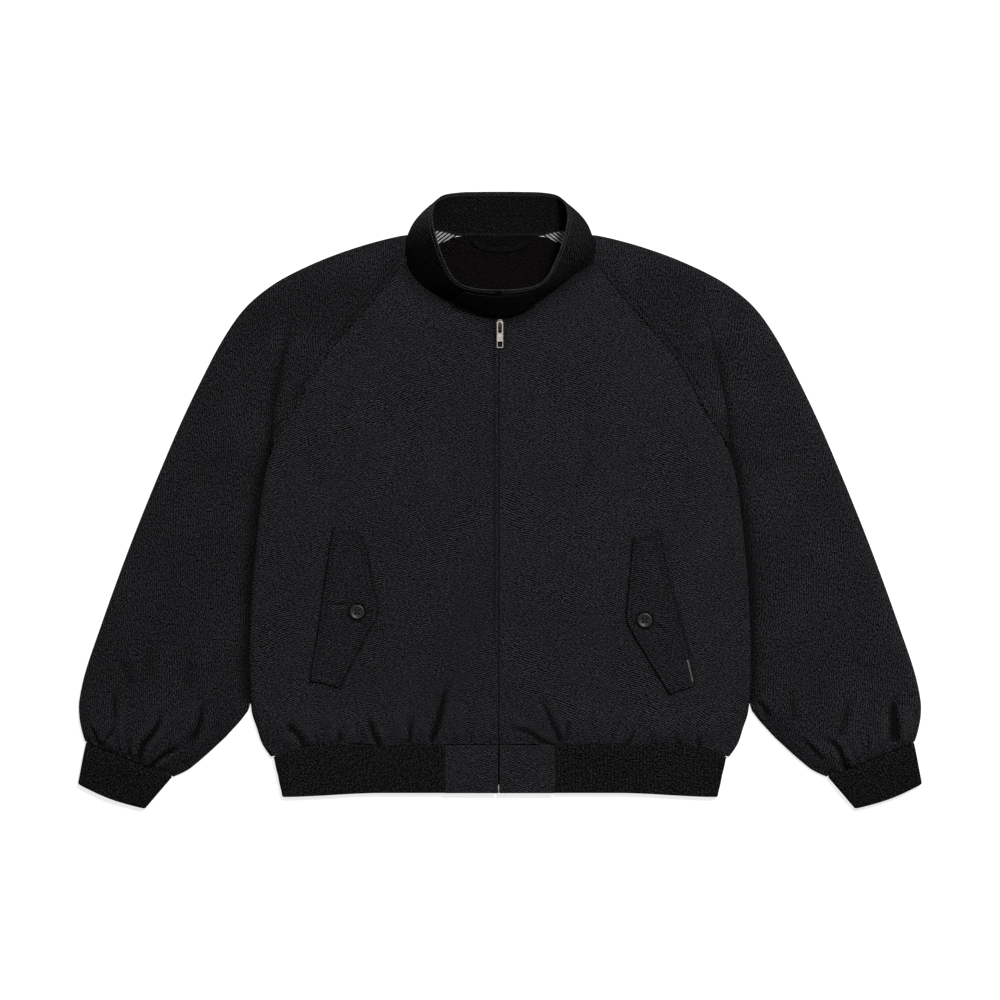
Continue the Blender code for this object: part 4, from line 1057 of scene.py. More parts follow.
# plan of a sleeve: rows from the raglan seam to the cuff, columns from the inner fold to the outer one;
# with it each point's distance from both folds, and the height over the usual top
def sleevePlan():
    table = np.array(sleeveRows, float)
    rows, outerLine = np.arange(len(table)), table[:, 1:3]
    steps = runLengths(outerLine)
    places = np.interp(spreadPlaces(steps[-1], sleeve["mesh"]), steps, rows)
    innerY, neck, puff = readSmooth(table[:, [0, 3, 4]], rows, places).T
    neck = np.clip(neck, 0, 1)[:, None]
    inner = np.stack([sleeveEdgeAt(innerY), innerY], axis=1)
    outer = curveAt(outerLine, np.interp(places, rows, steps / steps[-1]))
    innerSteps, outerSteps = roundedPlaces(sleeve["innerRound"], 6), roundedPlaces(sleeve["outerRun"], 13)
    middle = sleeve["columns"]
    seamCount, neckCount = len(innerSteps) - 1 + middle, len(outerSteps) - 1
    raglan = offsetCurve(raglanSeam, 1 - np.arange(seamCount + 1) / seamCount, sleeve["seamOut"])
    reach = collar["shoulderShare"] - collar["raglanShare"]
    neckShares = collar["raglanShare"] + reach * np.arange(1, neckCount + 1) / neckCount
    upper = np.concatenate([raglan, neckLine(neckShares, body["gap"])])
    inner[0], outer[0] = upper[0], upper[-1]
    blend = neck ** 6
    inner = inner * (1 - blend) + upper[0] * blend
    outer = outer * (1 - blend) + upper[-1] * blend
    line = outer - inner
    length = np.linalg.norm(line, axis=1)[:, None]
    span = length - innerSteps[-1] - outerSteps[-1]
    between = innerSteps[-1] + span * np.arange(middle) / middle
    distance = np.concatenate([innerSteps[:-1] + 0 * length, between, length - outerSteps[::-1]], axis=1)
    share = (distance / length)[..., None]
    plan = inner[:, None] + line[:, None] * share
    along = upper[0] + (upper[-1] - upper[0]) * share
    plan = plan + (upper[None] - along) * neck[..., None]     # the first rows follow the seam
    return plan, distance, length - distance, puff[:, None]


def sleeveHeight(x, y, puff, inner, outer):
    edgeX, floor = valleyAt(y)
    edgeX = np.where(y < sleeve["underarmY"], sleeveEdgeAt(y), edgeX)
    before = floor + (body["top"] - floor) * roundOver(edgeX - x + 1.0, body["sideRun"])
    top = sleeve["top"] + puff
    late = smoothStep((-225 - y) / 30)
    away = np.maximum(x - edgeX, 0) * (1 - late) + inner * late
    low = floor + sleeve["lowLift"] * underBody(y)
    roundness = sleeve["roundness"] - 0.2 * underBody(y)
    slope = roundness * roundOver(away, sleeve["innerRound"])
    slope = slope + (1 - roundness) * smoothStep(away / sleeve["innerRun"])
    lip = floor + 0.4 * (body["top"] - floor) * (1 - smoothStep((x - edgeX) / 3)) * smoothStep((y - 60) / 12)
    waves = sleeve["gathers"] * gatherHeight(inner, cuffWaves)
    waves = waves * smoothStep((-262 - y) / 30) * smoothStep(away / 12)
    height = np.where(x < edgeX, before, np.maximum(low + (top - low) * slope + waves, lip))
    return body["edgeLift"] + (height - body["edgeLift"]) * roundOver(outer, sleeve["outerRun"])


# painted shade under the body's edge, along the cuff seam, in the fold beside the body and along the raglan
# seam; the whole sleeve is also made a little darker, more so toward the shoulder; x is measured outward here
def sleeveSunk(x, y, side):
    sunk = dimmed("underarm", np.maximum(x - bodyEdgeAt(y) - 2, 0)) * underBody(y)
    sunk = sunk + patches(side * x, y, 73, 17, 0.8) * dimmed("cuff", nearLine(cuffSeam, x, y)[0])
    sunk = sunk + band(y, (58, 10), (238, 80)) * dimmed("valley", x - valleyAt(y)[0] - 3)
    seam = raglanDistance(x, y)[0]
    beside = dimmed("sewn", seam - stitch["besideSeam"]) + dimmed("sleeveSeam", seam)
    return sunk + patches(side * x, y, 76, 30, 0.9) * beside + 0.1 + 0.12 * smoothStep((y - 150) / 80)


def makeSleeves():
    plan, inner, outer, puff = sleevePlan()
    for name, side in sides.items():
        x, y = plan[..., 0], plan[..., 1]
        detail = sleeveDetail(side * x, y, name) + bodyDetail(side * x, y) * smoothStep((285 - x) / 20)
        edgeX = np.where(y < sleeve["underarmY"], sleeveEdgeAt(y), valleyAt(y)[0])
        detail = detail * smoothStep(outer / 10) * np.where(x < edgeX, 1, smoothStep((x - edgeX) / 8))
        height = np.maximum(sleeveHeight(x, y, puff, inner, outer) + detail, body["edgeLift"] - 0.2)
        grid = tuckedUnder(np.stack([side * x, y, height], axis=-1), sleeve["under"])
        reach = underBody(grid[:, :1, 1]) * np.array(sleeve["underBody"]) + np.array(sleeve["underEdge"])
        under = np.repeat(grid[:, :1], 3, axis=1)
        under[..., 0] -= side * reach
        grid = np.concatenate([under, grid], axis=1)
        detail = np.pad(detail, ((3, 0), (3, 0)))
        look = looks["sleeveLeft" if side > 0 else "sleeveRight"]
        wearAndShading = wornPlaces(grid, detail, sleeveSunk(side * grid[..., 0], grid[..., 1], side))
        makeCloth(f"sleeve_front_{name}_cloth", grid, body["cloth"], look, grid[..., :2], 1.3, side < 0, wearAndShading)
        flat = np.stack([side * x, y, backRelief(side * x, y) + body["cloth"]], axis=-1)[::2]
        makeCloth(f"sleeve_back_{name}_cloth", flat, body["cloth"], look, flat[..., :2], 0.7, side < 0,
                  wornPlaces(flat, 0))
        print("sleeve", name, grid.shape)


# the layers below rest flat; a few soft troughs lift off the surface
backCreases = [(9, 0.5, [(-150, 150), (-170, 60), (-165, -20)]),
               (11, 0.55, [(120, 180), (150, 90), (140, 10)]),
               (7, 0.45, [(-60, -180), (-66, -240), (-62, -288)]),
               (6, 0.5, [(90, -200), (86, -250), (92, -288)]),
               (6, 0.4, [(-190, -210), (-196, -260), (-188, -290)]), (6, 0.45, [(210, -230), (204, -285)]),
               (8, 0.5, [(330, 60), (352, 20), (380, 0)]), (7, 0.5, [(-340, 40), (-362, 6), (-392, -20)]),
               (6, 0.5, [(440, -240), (448, -270), (440, -300)]), (6, 0.45, [(-450, -236), (-444, -300)]),
               (5, 0.4, [(470, -230), (476, -270)]), (5, 0.4, [(-420, -250), (-416, -310)])]


def backRelief(x, y):
    return np.clip(creaseHeight(x, y, backCreases) + unevenness(x, y, 41, 120, 0.12) - 0.12, 0, 0.6)


def makeBack():
    table = np.array(frontRows, float)
    table[:8, 0] = np.linspace(*body["backRows"], 8)
    rows = np.arange(len(table))
    places = np.interp(spreadPlaces(table[0, 0] - table[-1, 0], 5), table[0, 0] - table[:, 0], rows)
    centreY, edge = readSmooth(table[:, :2], rows, places).T
    seam = offsetCurve([body["backCorner"]] + raglanSeam[1:], np.clip(edge, 0, 1), 0.0)
    outer = np.where((edge <= 1)[:, None], seam, curveAt(sideSeam, np.clip(edge - 1, 0, 1)))
    half = spreadPlaces(np.ones(1) * 100, 2.2, first=(0,), last=(0, 0.15, 0.5, 1.0))[0] / 100
    share = np.concatenate([-half[:0:-1], half])
    x = outer[:, :1] * share
    centreY = centreY[:, None]
    drop = np.abs(share) + (hemDropAt(x) - np.abs(share)) * followsHem(centreY)
    y = centreY + (outer[:, 1:] - centreY) * drop
    grid = np.stack([x, y, backRelief(x, y) + body["cloth"]], axis=-1)
    makeCloth("back_cloth", grid, body["cloth"], looks["bodyLeft"], grid[..., :2], 0.7, True,
              wornPlaces(grid, 0))
    print("back", grid.shape)


knitEdge = {"tuck": 2.3, "tuckRun": 1.4, "lipRun": 2.2, "growRun": 5, "under": (-3.2, -1.6, -0.5)}


# shares down a knitted piece, from under the cloth above it to its free edge
def knitRows(depth, pitch):
    rows = spreadPlaces(depth, pitch, first=(0, 0.5, 1.2), last=(0, 0.3, 0.8, 1.6, 2.6)) / depth
    return np.concatenate([np.array(knitEdge["under"]) / depth, rows])


# how far the ribs stand out at share t of the depth, and how thick the knit is behind them
def ribWall(t, depth, phase, above):
    wave = (0.5 - 0.5 * np.cos(phase)) ** 0.7
    tuck = knitEdge["tuck"] * (1 - roundOver(t * depth + 0.6, knitEdge["tuckRun"]))
    rounded = 1 - roundOver((1 - t) * depth, knitEdge["lipRun"])
    grown = roundOver(np.minimum(t, 1 - t) * depth, knitEdge["growRun"])
    push = hem["ribRise"] * (wave - 1 + above) * (0.3 + 0.7 * grown) - rounded * hem["knit"] * 0.5 - tuck
    return push, hem["knit"] * (1 - 0.5 * rounded) + tuck


# hem: a ribbed loop from the wearer's left block round the back to the right one
def makeHem():
    depth = hem["seamY"] - hem["edgeY"]
    start = hem["blockWidth"] + body["gap"]
    outer, inner, weave = [], [], []
    for t in knitRows(depth, hem["rowPitch"]):
        half = hem["halfSeam"] + (hem["halfEdge"] - hem["halfSeam"]) * t
        top = hem["seamTop"] + (hem["edgeTop"] - hem["seamTop"]) * t
        fold = top / 2
        flat, bend, base = half - fold - start, math.pi * fold, half - fold
        total = flat + bend + base
        steps = np.linspace(0, total, 600)
        turn = np.clip((steps - flat) / fold, 0, math.pi)
        parts = [steps < flat, steps < flat + bend]
        outX, outZ = np.sin(turn), np.cos(turn)
        x = np.select(parts, [start + steps, base + fold * outX], base - (steps - flat - bend))
        z = np.select(parts, [top, fold + fold * outZ], 0)
        above = np.clip(outZ, 0, 1)
        push, wall = ribWall(t, depth, 2 * math.pi * steps / hem["ribPitch"], above)
        y = hemSeamAt(x) * (1 - t) + (hem["edgeY"] - hem["edgeDrop"] * smoothStep((x - 140) / 121)) * t
        halves = []
        for sign in (1, -1):
            gathered = creaseHeight(sign * x, y, bodyCreases + hemPuckers) * smoothStep(1 - t * 4.5)
            lift = (gathered + unevenness(sign * x, y, 51, 46, 0.4) * t) * above
            out = push + lift
            halves.append((np.stack([sign * (x + outX * out), y, z + outZ * out], axis=-1),
                           np.stack([sign * (x - outX * wall), y, z - outZ * wall + lift], axis=-1)))
        left, right = halves
        outer.append(np.concatenate([left[0], right[0][::-1]]))
        inner.append(np.concatenate([left[1], right[1][::-1]]))
        along = np.concatenate([steps, 2 * total - steps[::-1]])
        weave.append(np.column_stack([along, np.full(len(along), t * depth)]))
    closedWall("hem_rib_knit", np.array(outer), np.array(inner), looks["knit"], np.array(weave), False)


# a wall given by both its faces, closed at its ends
def closedWall(name, outer, inner, material, weave, wrap):
    top = np.arange(outer.shape[0] * outer.shape[1]).reshape(outer.shape[:2])
    under = top + top.size
    if wrap:
        top, under = (np.concatenate([part, part[:, :1]], axis=1) for part in (top, under))
    faces = [quads(top), quads(under)[:, ::-1], strip(top[0], under[0])[:, ::-1], strip(top[-1], under[-1])]
    if not wrap:
        faces += [strip(top[:, 0], under[:, 0]), strip(top[:, -1], under[:, -1])[:, ::-1]]
    points = np.concatenate([outer.reshape(-1, 3), inner.reshape(-1, 3)])
    wearAndShading = 0.6 * bell(edgeDistance(outer, wrap), 2.0)
    item = meshObject(name, points, np.concatenate(faces), material, pointValues(weave, wearAndShading))
    shape = bmesh.new()
    shape.from_mesh(item.data)
    bmesh.ops.recalc_face_normals(shape, faces=shape.faces)
    shape.to_mesh(item.data)
    shape.free()
    item.data.set_sharp_from_angle(angle=math.radians(70))
    keepCloth(name, item, outer, faces[0])
    print(name, outer.shape)


def makeBlocks():
    for name, side in sides.items():
        start = body["closureX"] * side + body["closureHalf"] + body["gap"]
        high = hem["seamY"] - body["gap"]
        xs = spreadPlaces(hem["blockWidth"] - start, 2.2) + start
        ys = spreadPlaces(high - hem["edgeY"], 2.2)
        x, y = np.meshgrid(xs, high - ys)
        t = (hem["seamY"] - y) / (hem["seamY"] - hem["edgeY"])
        border = np.minimum(np.minimum(ys, ys[-1] - ys)[:, None], np.minimum(xs - xs[0], xs[-1] - xs)[None])
        sewn = -0.3 * bell(border - hem["stitchIn"], 0.9)
        creased = 0.8 * creaseHeight(side * x, y, bodyCreases) * smoothStep(1 - t * 5)
        slow = unevenness(side * x, y, 61, 42, 0.25) + creased
        z = hem["seamTop"] + (hem["edgeTop"] - hem["seamTop"]) * t + 0.2 + sewn + slow
        grid = np.stack([side * x, y, z], axis=-1)
        makeCloth(f"hem_block_{name}_cloth", grid, hem["knit"], looks["bodyLeft"], grid[..., :2], 1.5,
                  side < 0, wornPlaces(grid, 0.3))


cuff = {"corners": [(393, -332), (496.4, -290.4), (425.4, -370), (505.8, -340.2)], "bow": 3.4, "ribs": 27,
        "depth": 50, "rowPitch": 3.2, "tops": (9.6, 10.2, 8.8), "topAt": (0, 0.4, 1)}


def makeCuffs():
    innerSeam, outerSeam, innerEdge, outerEdge = (np.array(p, float) for p in cuff["corners"])
    depth, waves = cuff["depth"], 2 * cuff["ribs"]
    for name, side in sides.items():
        outer, inner, weave = [], [], []
        for t in knitRows(depth, cuff["rowPitch"]):
            start, end = innerSeam + (innerEdge - innerSeam) * t, outerSeam + (outerEdge - outerSeam) * t
            across = end - start
            width = np.linalg.norm(across)
            along = np.array((across[1], -across[0])) / width
            fold = float(readSmooth(np.array(cuff["tops"])[:, None], cuff["topAt"], t)[0]) / 2
            flat, bend = width - 2 * fold, math.pi * fold
            total = 2 * flat + 2 * bend
            steps = np.linspace(0, total, 461)[:-1]
            turn = np.where(steps < flat + bend, np.clip((steps - flat) / fold, 0, math.pi),
                            math.pi + np.clip((steps - 2 * flat - bend) / fold, 0, math.pi))
            outX, outZ = np.sin(turn), np.cos(turn)
            parts = [steps < flat, steps < flat + bend, steps < 2 * flat + bend]
            places = [fold + steps, width - fold + fold * outX, width - fold - (steps - flat - bend)]
            place = np.select(parts, places, fold + fold * outX)
            z = fold + fold * outZ
            above = np.clip(outZ, 0, 1)
            push, wall = ribWall(t, depth, 2 * math.pi * steps / total * waves, above)
            bow = cuff["bow"] * np.sin(math.pi * place / width) * max(t, 0) ** 3
            spot = start + across * (place / width)[:, None] + along * bow[:, None]
            x, y = side * spot[:, 0], spot[:, 1]
            lift = creaseHeight(x, y, sleeveCreases + sleevePuckers[name]) * smoothStep(1 - t * 2.4)
            lift = (lift + unevenness(x, y, 71, 40, 0.5) * t) * above
            away = spot + across / width * (outX * push)[:, None]
            back = spot - across / width * (outX * wall)[:, None]
            outer.append(np.column_stack([side * away[:, 0], away[:, 1], z + outZ * (push + lift)]))
            inner.append(np.column_stack([side * back[:, 0], back[:, 1], z - outZ * wall + lift]))
            around = steps * waves / total * hem["ribPitch"]
            weave.append(np.column_stack([around, np.full(len(steps), t * depth)]))
        closedWall(f"cuff_{name}_knit", np.array(outer), np.array(inner), looks["knit"], np.array(weave),
                   True)


def makeCollar():
    height = collar["height"]
    share = np.linspace(0.9992, -0.9992, 361)
    up = spreadPlaces(height, collar["mesh"]) / height
    across, level = np.meshgrid(share, up)
    ring = runLengths(collarPoint(share, 1.0))
    weave = weaveGrid(ring, up * height)
    sewn = 0.35 * bell((1 - level) * height - collar["stitchDown"], 1.0)
    slack = unevenness(ring[None, :] + 0 * level, level * height, 81, 48, 0.45)
    slack = slack * np.sin(math.pi * level) ** 0.6
    outer = collarPoint(across, level, slack - sewn + 0.0001)
    outer[..., 2] = np.maximum(outer[..., 2], 0.05)
    # the rim is rubbed paler, and this also serves as a painted highlight; painted shade at the collar's foot
    # and over the wearer's right front, and painted highlights on the lit bands near the shoulders
    rim = smoothStep((level - 0.955) / 0.03)
    low = bell(level * height, 13) * smoothStep((np.abs(across) - 0.3) / 0.3)
    sunk = low * np.where(across < 0, 0.5, 0.3) + 0.75 * smoothStep((-across - 0.43) / 0.12)
    lit = 0.7 * bell(across + 0.37, 0.08) + 0.15 * bell(across - 0.42, 0.1)
    makeCloth("collar_outer_cloth", outer, collar["cloth"], looks["collar"], weave, 0.9,
              wearAndShading=wornPlaces(outer, 1.5 * rim, (sunk - lit) * (1 - rim)))
    # the inner layer's foot stands clear of the back facing's corners
    corners = bell(np.abs(collarPoint(across, 0.0)[..., 0]) - 84, 22) * (np.abs(across) < 0.4)
    foot = 0.02 + 0.085 * corners
    inner = collarPoint(across, foot + level * (0.985 - foot), sewn - collar["inset"] + slack)
    makeCloth("collar_inner_cloth", inner, collar["innerCloth"], looks["collarInside"], weave, 0.8,
              wearAndShading=wornPlaces(inner, 1.5 * rim))
    end, (reachLeft, reachRight), (low, high) = collar["tabEnd"], collar["tabReach"], collar["tabRows"]
    share = np.concatenate([np.linspace(-1 + reachRight, -end, 46), np.linspace(end, 1 - reachLeft, 40)])
    up = low + (high - low) * spreadPlaces(collar["tabHeight"], collar["tabMesh"]) / collar["tabHeight"]
    across, level = np.meshgrid(share, up)
    length = runLengths(collarPoint(share, 0.5))
    slack = unevenness(length[None, :] + 0 * level, level * height, 82, 24, 0.15)
    tab = collarPoint(across, level, body["gap"] + collar["tabThick"] + slack)
    # the tab is painted darker all over, as shade
    makeCloth("collar_tab_cloth", tab, collar["tabThick"], looks["collar"], weaveGrid(length, up * height),
              1.0, True, 0.4 * wornPlaces(tab, 0) - 0.45)
    print("collar made")


# a grid between two side lines, with round corners
def ruledGrid(first, last, pitch, corner=0.0):
    height = max(runLengths(np.array(line, float))[-1] for line in (first, last))
    places = spreadPlaces(height, pitch)
    start, end = curveAt(first, places / height), curveAt(last, places / height)
    spans = np.linalg.norm(end - start, axis=1)
    across = spreadPlaces(spans, pitch)
    nearEnd = np.minimum(places, height - places)
    inset = corner * (1 - roundOver(nearEnd, corner)) if corner else np.zeros(len(places))
    held = inset[:, None] + across * ((spans - 2 * inset) / spans)[:, None]
    return start[:, None] + (end - start)[:, None] * (held / spans[:, None])[..., None]


# what shows inside the neck: a facing on the back, the lining at its corners and a hanger loop
inside = {"facingTop": [(-103.5, 274), (-92, 290), (-72, 306.3), (-51, 315.8), (0, 316), (51, 315.8),
                        (72, 306.3), (92, 290), (103.5, 274)],
          "facingLow": [(-102, 270), (-84, 254), (-60, 242), (-30, 231), (0, 229), (30, 231), (60, 242),
                        (84, 254), (102, 270)],
          "liningNear": [(51.6, 315.2), (60, 311.8), (72.8, 306.9), (84, 298.8), (93, 290.6), (99, 283.6),
                         (104.6, 276.4)],
          "liningFar": [(53.4, 317.6), (64, 320.6), (75, 323.4), (87, 323), (99, 315), (104, 302), (105, 277)],
          "loop": [(-32, 312), (-27, 306), (-16, 301.5), (0, 300.4), (17, 301.5), (28, 306), (33, 311)],
          "facing": 1.0, "facingZ": 2.8, "lining": 0.8, "liningZ": 2.7, "loopCloth": 1.3, "loopZ": 4.5,
          "loopWidth": 6.4, "loopLength": 80}


def makeNeck():
    plan = ruledGrid(inside["facingTop"], inside["facingLow"], 3.2)
    grid = raised(plan, inside["facingZ"] + unevenness(plan[..., 0], plan[..., 1], 91, 40, 0.12))
    makeCloth("back_facing_cloth", grid, inside["facing"], looks["facing"], plan, 0.6, True)
    for name, side in sides.items():
        plan = ruledGrid(inside["liningNear"], inside["liningFar"], 1.6)
        slow = unevenness(plan[..., 0], plan[..., 1], 92, 18, 0.12)
        grid = raised(plan, inside["liningZ"] + slow - 0.1 * np.maximum(plan[..., 1] - 317, 0))
        grid[..., 0] *= side
        makeCloth(f"lining_{name}_cloth", grid, inside["lining"], looks["lining"], plan, 0.5, side > 0)
    width, length = inside["loopWidth"], inside["loopLength"]
    shares = spreadPlaces(length, 1.6) / length
    outs = width / 2 - spreadPlaces(width, 1.2, first=(0, 0.3, 0.8), last=(0, 0.3, 0.8))
    plan = np.stack([offsetCurve(inside["loop"], shares, out) for out in outs], axis=1)
    grid = raised(plan, inside["loopZ"] + 0.35 * np.sin(shares * math.pi)[:, None] + 0 * plan[..., 0])
    weave = weaveGrid(outs, shares * length)[..., ::-1]
    makeCloth("hanger_loop_cloth", grid, inside["loopCloth"], looks["collarInside"], weave, 0.7, True)
    print("neck made")


flap = {"thick": 1.4, "corner": 4.0, "mesh": 2.0, "stitchIn": (1.6, 5.2), "grooveIn": 4.6}


def makeFlaps():
    for name, side in sides.items():
        start, end = (flaps[name][k] for k in (("sewn", "free") if side < 0 else ("free", "sewn")))
        plan = ruledGrid(start, end, flap["mesh"], flap["corner"])
        x, y = plan[..., 0], plan[..., 1]
        border = edgeDistance(raised(plan, 0 * x))
        sewn = -0.28 * bell(border - flap["grooveIn"], 0.9)
        puckered = 0.3 * unevenness(x, y, 95 + side, 9, 1.0) * bell(border, 6) * (1 if side < 0 else 0.5)
        curl = 0.45 * bell(border, 7) * (0.6 + 0.6 * unevenness(x, y, 97, 70, 0.6))
        detail = 1.4 * creaseHeight(x, y, flapCreases)
        # painted shade: a dark ring round the button, lines along the stitching and at the flap's edge, and a
        # little over the whole flap
        ring = np.hypot(x - button[name][0], y - button[name][1]) - button["radius"]
        sunk = dimmed("button", ring) * (ring > -shelter["button"][1])
        sunk += dimmed("flapStitch", border - flap["stitchIn"][1]) + dimmed("flapEdge", border) + 0.15
        z = frontHeight(x, y) + body["gap"] + flap["thick"] + sewn + puckered + np.maximum(curl, 0) + detail
        grid = raised(plan, z)
        look = looks["flapLeft" if side > 0 else "flapRight"]
        wearAndShading = wornPlaces(grid, detail, sunk)
        makeCloth(f"pocket_flap_{name}_cloth", grid, flap["thick"], look, plan, wearAndShading=wearAndShading)
    print("flaps made")


label = {"top": (226.6, -190.5), "bottom": (233.0, -217.0), "inward": (-6.6, -1.6), "thick": 0.6}


def makeLabel():
    top, bottom, inward = (np.array(label[k], float) for k in ("top", "bottom", "inward"))
    plan = ruledGrid([top + inward, bottom + inward], [top, bottom], 1.0)
    z = surfaceUnder("pocket_flap_left_cloth", plan, 12.0) + body["gap"] + label["thick"]
    weave = np.stack([(top - plan) @ unit(inward) + 7, (plan - top) @ unit(bottom - top)], axis=-1)
    makeCloth("label_cloth", raised(plan, z), label["thick"], looks["label"], weave, 0.4)


# height of a piece under each place, looked up from above
def surfaceUnder(name, plan, missing):
    heights = []
    for x, y in plan.reshape(-1, 2):
        hit = trees[name].ray_cast(Vector((x, y, 200)), Vector((0, 0, -1)))
        heights.append(hit[0].z if hit[0] is not None else missing)
    return np.array(heights).reshape(plan.shape[:-1])


# a piece from a bmesh in millimetres
def bmeshObject(name, shape, material, at=(0, 0, 0)):
    shape.verts.index_update()
    points = np.array([v.co[:] for v in shape.verts]) + np.array(at)
    faces = [[v.index for v in f.verts] for f in shape.faces]
    shape.free()
    return meshObject(name, points, faces, material)


# buttons: a turned disc with a raised rim, four holes and a cross of thread
button = {"radius": 9.0, "thick": 2.8, "dish": 0.75, "hole": 1.5, "holeOut": 2.9, "low": 14.4, "thread": 0.26,
          "threadApart": 0.28, "threadRise": 0.55, "right": (-171, -134), "left": (173, -144)}


def makeButtons():
    thick, radius = button["thick"], button["radius"]
    # half a section, from the middle of the face over the rim to the underside
    profile = [(0.0, thick - button["dish"]), (3.4, thick - 0.78), (5.4, thick - 0.7), (6.1, thick - 0.35),
               (6.6, thick - 0.06), (7.3, thick), (8.1, thick - 0.12), (8.7, thick - 0.5),
               (radius, thick / 2), (8.8, thick / 2 - 0.7), (8.2, 0.2), (7.2, 0.0), (0.0, 0.0)]
    for name in sides:
        shape = bmesh.new()
        verts = [shape.verts.new((x, 0, z)) for x, z in profile]
        edges = [shape.edges.new(pair) for pair in zip(verts, verts[1:])]
        bmesh.ops.spin(shape, geom=verts + edges, cent=(0, 0, 0), axis=(0, 0, 1), angle=2 * math.pi, steps=64)
        bmesh.ops.remove_doubles(shape, verts=shape.verts, dist=0.001)
        bmesh.ops.recalc_face_normals(shape, faces=shape.faces)
        centre = np.array((*button[name], button["low"]))
        item = bmeshObject(f"button_{name}_horn", shape, looks["horn"], centre)
        tools = [holeTool(f"hole_{name}_{i}", centre, math.pi / 4 + math.pi / 2 * i) for i in range(4)]
        for tool in tools:
            step = item.modifiers.new(tool.name, "BOOLEAN")
            step.object = tool
            step.solver = "EXACT"
        bpy.context.view_layer.update()
        mesh = bpy.data.meshes.new_from_object(item.evaluated_get(bpy.context.evaluated_depsgraph_get()))
        item.modifiers.clear()
        item.data = mesh
        mesh.set_sharp_from_angle(angle=math.radians(50))
        for tool in tools:
            bpy.data.objects.remove(tool)
        soft[item.name] = item
        crossThreads(name, centre)
    print("buttons made")


# a round column that cuts one hole
def holeTool(name, centre, angle):
    count = 20
    turns = np.linspace(0, 2 * math.pi, count, endpoint=False)
    ring = np.column_stack([np.cos(turns), np.sin(turns)]) * button["hole"]
    column = np.concatenate([np.column_stack([ring, np.full(count, z)]) for z in (-2.0, button["thick"] + 2)])
    column = column + centre + np.array((math.cos(angle), math.sin(angle), 0)) * button["holeOut"]
    walls = [[k, (k + 1) % count, count + (k + 1) % count, count + k] for k in range(count)]
    ends = [list(range(count))[::-1], list(range(count, 2 * count))]
    return meshObject(name, column, walls + ends, looks["horn"])


def crossThreads(name, centre):
    paths = []
    t = np.linspace(-1, 1, 13)
    out = t * button["holeOut"]
    for i in range(4):     # two threads each way, the second pair over the first
        angle = math.pi / 4 + math.pi / 2 * (i % 2)
        shift = (-button["threadApart"], button["threadApart"])[i // 2]
        x = out * math.cos(angle) - shift * math.sin(angle)
        y = out * math.sin(angle) + shift * math.cos(angle)
        rise = button["threadRise"] * (1 - t ** 6) + 0.2 * (i % 2) * bell(t, 0.3) - 1.6 * (np.abs(t) > 0.98)
        paths.append(np.column_stack([x, y, button["thick"] - button["dish"] + rise]) + centre)
    tubePiece(f"button_{name}_thread", paths, button["thread"], looks["holeThread"], 6)


# round tubes along paths, all in one piece
def tubePiece(name, paths, radius, material, corners):
    points, faces = [], []
    count = 0
    turns = np.linspace(0, 2 * math.pi, corners, endpoint=False)
    for path in paths:
        ahead = unit(np.gradient(path, axis=0))
        across = np.cross(ahead, (0, 0, 1.0))
        across /= np.maximum(np.linalg.norm(across, axis=1)[:, None], 1e-6)
        lift = np.cross(across, ahead)
        rings = across[:, None] * np.cos(turns)[:, None] + lift[:, None] * np.sin(turns)[:, None]
        points.append((path[:, None] + radius * rings).reshape(-1, 3))
        numbers = count + np.arange(len(path) * corners).reshape(len(path), corners)
        for here, there in zip(numbers, numbers[1:]):
            faces += zip(here, there, np.roll(there, -1), np.roll(here, -1))
        faces += [numbers[0], numbers[-1][::-1]]
        count += numbers.size
    soft[name] = meshObject(name, np.concatenate(points), faces, material)


# stitches: short arcs of thread along a line, sunk at both ends
stitch = {"length": 2.7, "space": 0.8, "radius": 0.24, "rise": 0.16, "besideSeam": 6.2}


def sewnPiece(name, paths, look="thread"):
    tubePiece(name, paths, stitch["radius"], looks[look], 5)


def stitchPaths(line, normals=None):
    steps = runLengths(line)
    pitch = stitch["length"] + stitch["space"]
    if normals is None:
        normals = np.tile((0, 0, 1.0), (len(line), 1))
    paths = []
    for k in range(int(steps[-1] // pitch)):
        places = k * pitch + np.linspace(0, stitch["length"], 5)
        points, up = (np.column_stack([np.interp(places, steps, rows[:, i]) for i in range(3)])
                      for rows in (line, normals))
        points = points + up * np.array((-0.3, 0.6, 1.0, 0.6, -0.3))[:, None] * stitch["rise"]
        if points[:, 2].min() > 2 * stitch["radius"]:
            paths.append(points)
    return paths


# a line of places laid on a piece
def laidOn(name, plan, spacing=1.5):
    count = max(8, int(runLengths(plan)[-1] / spacing))
    points = curveAt(plan, np.linspace(0, 1, count))
    z = surfaceUnder(name, points, -1)
    return raised(points, z)[z > 0]


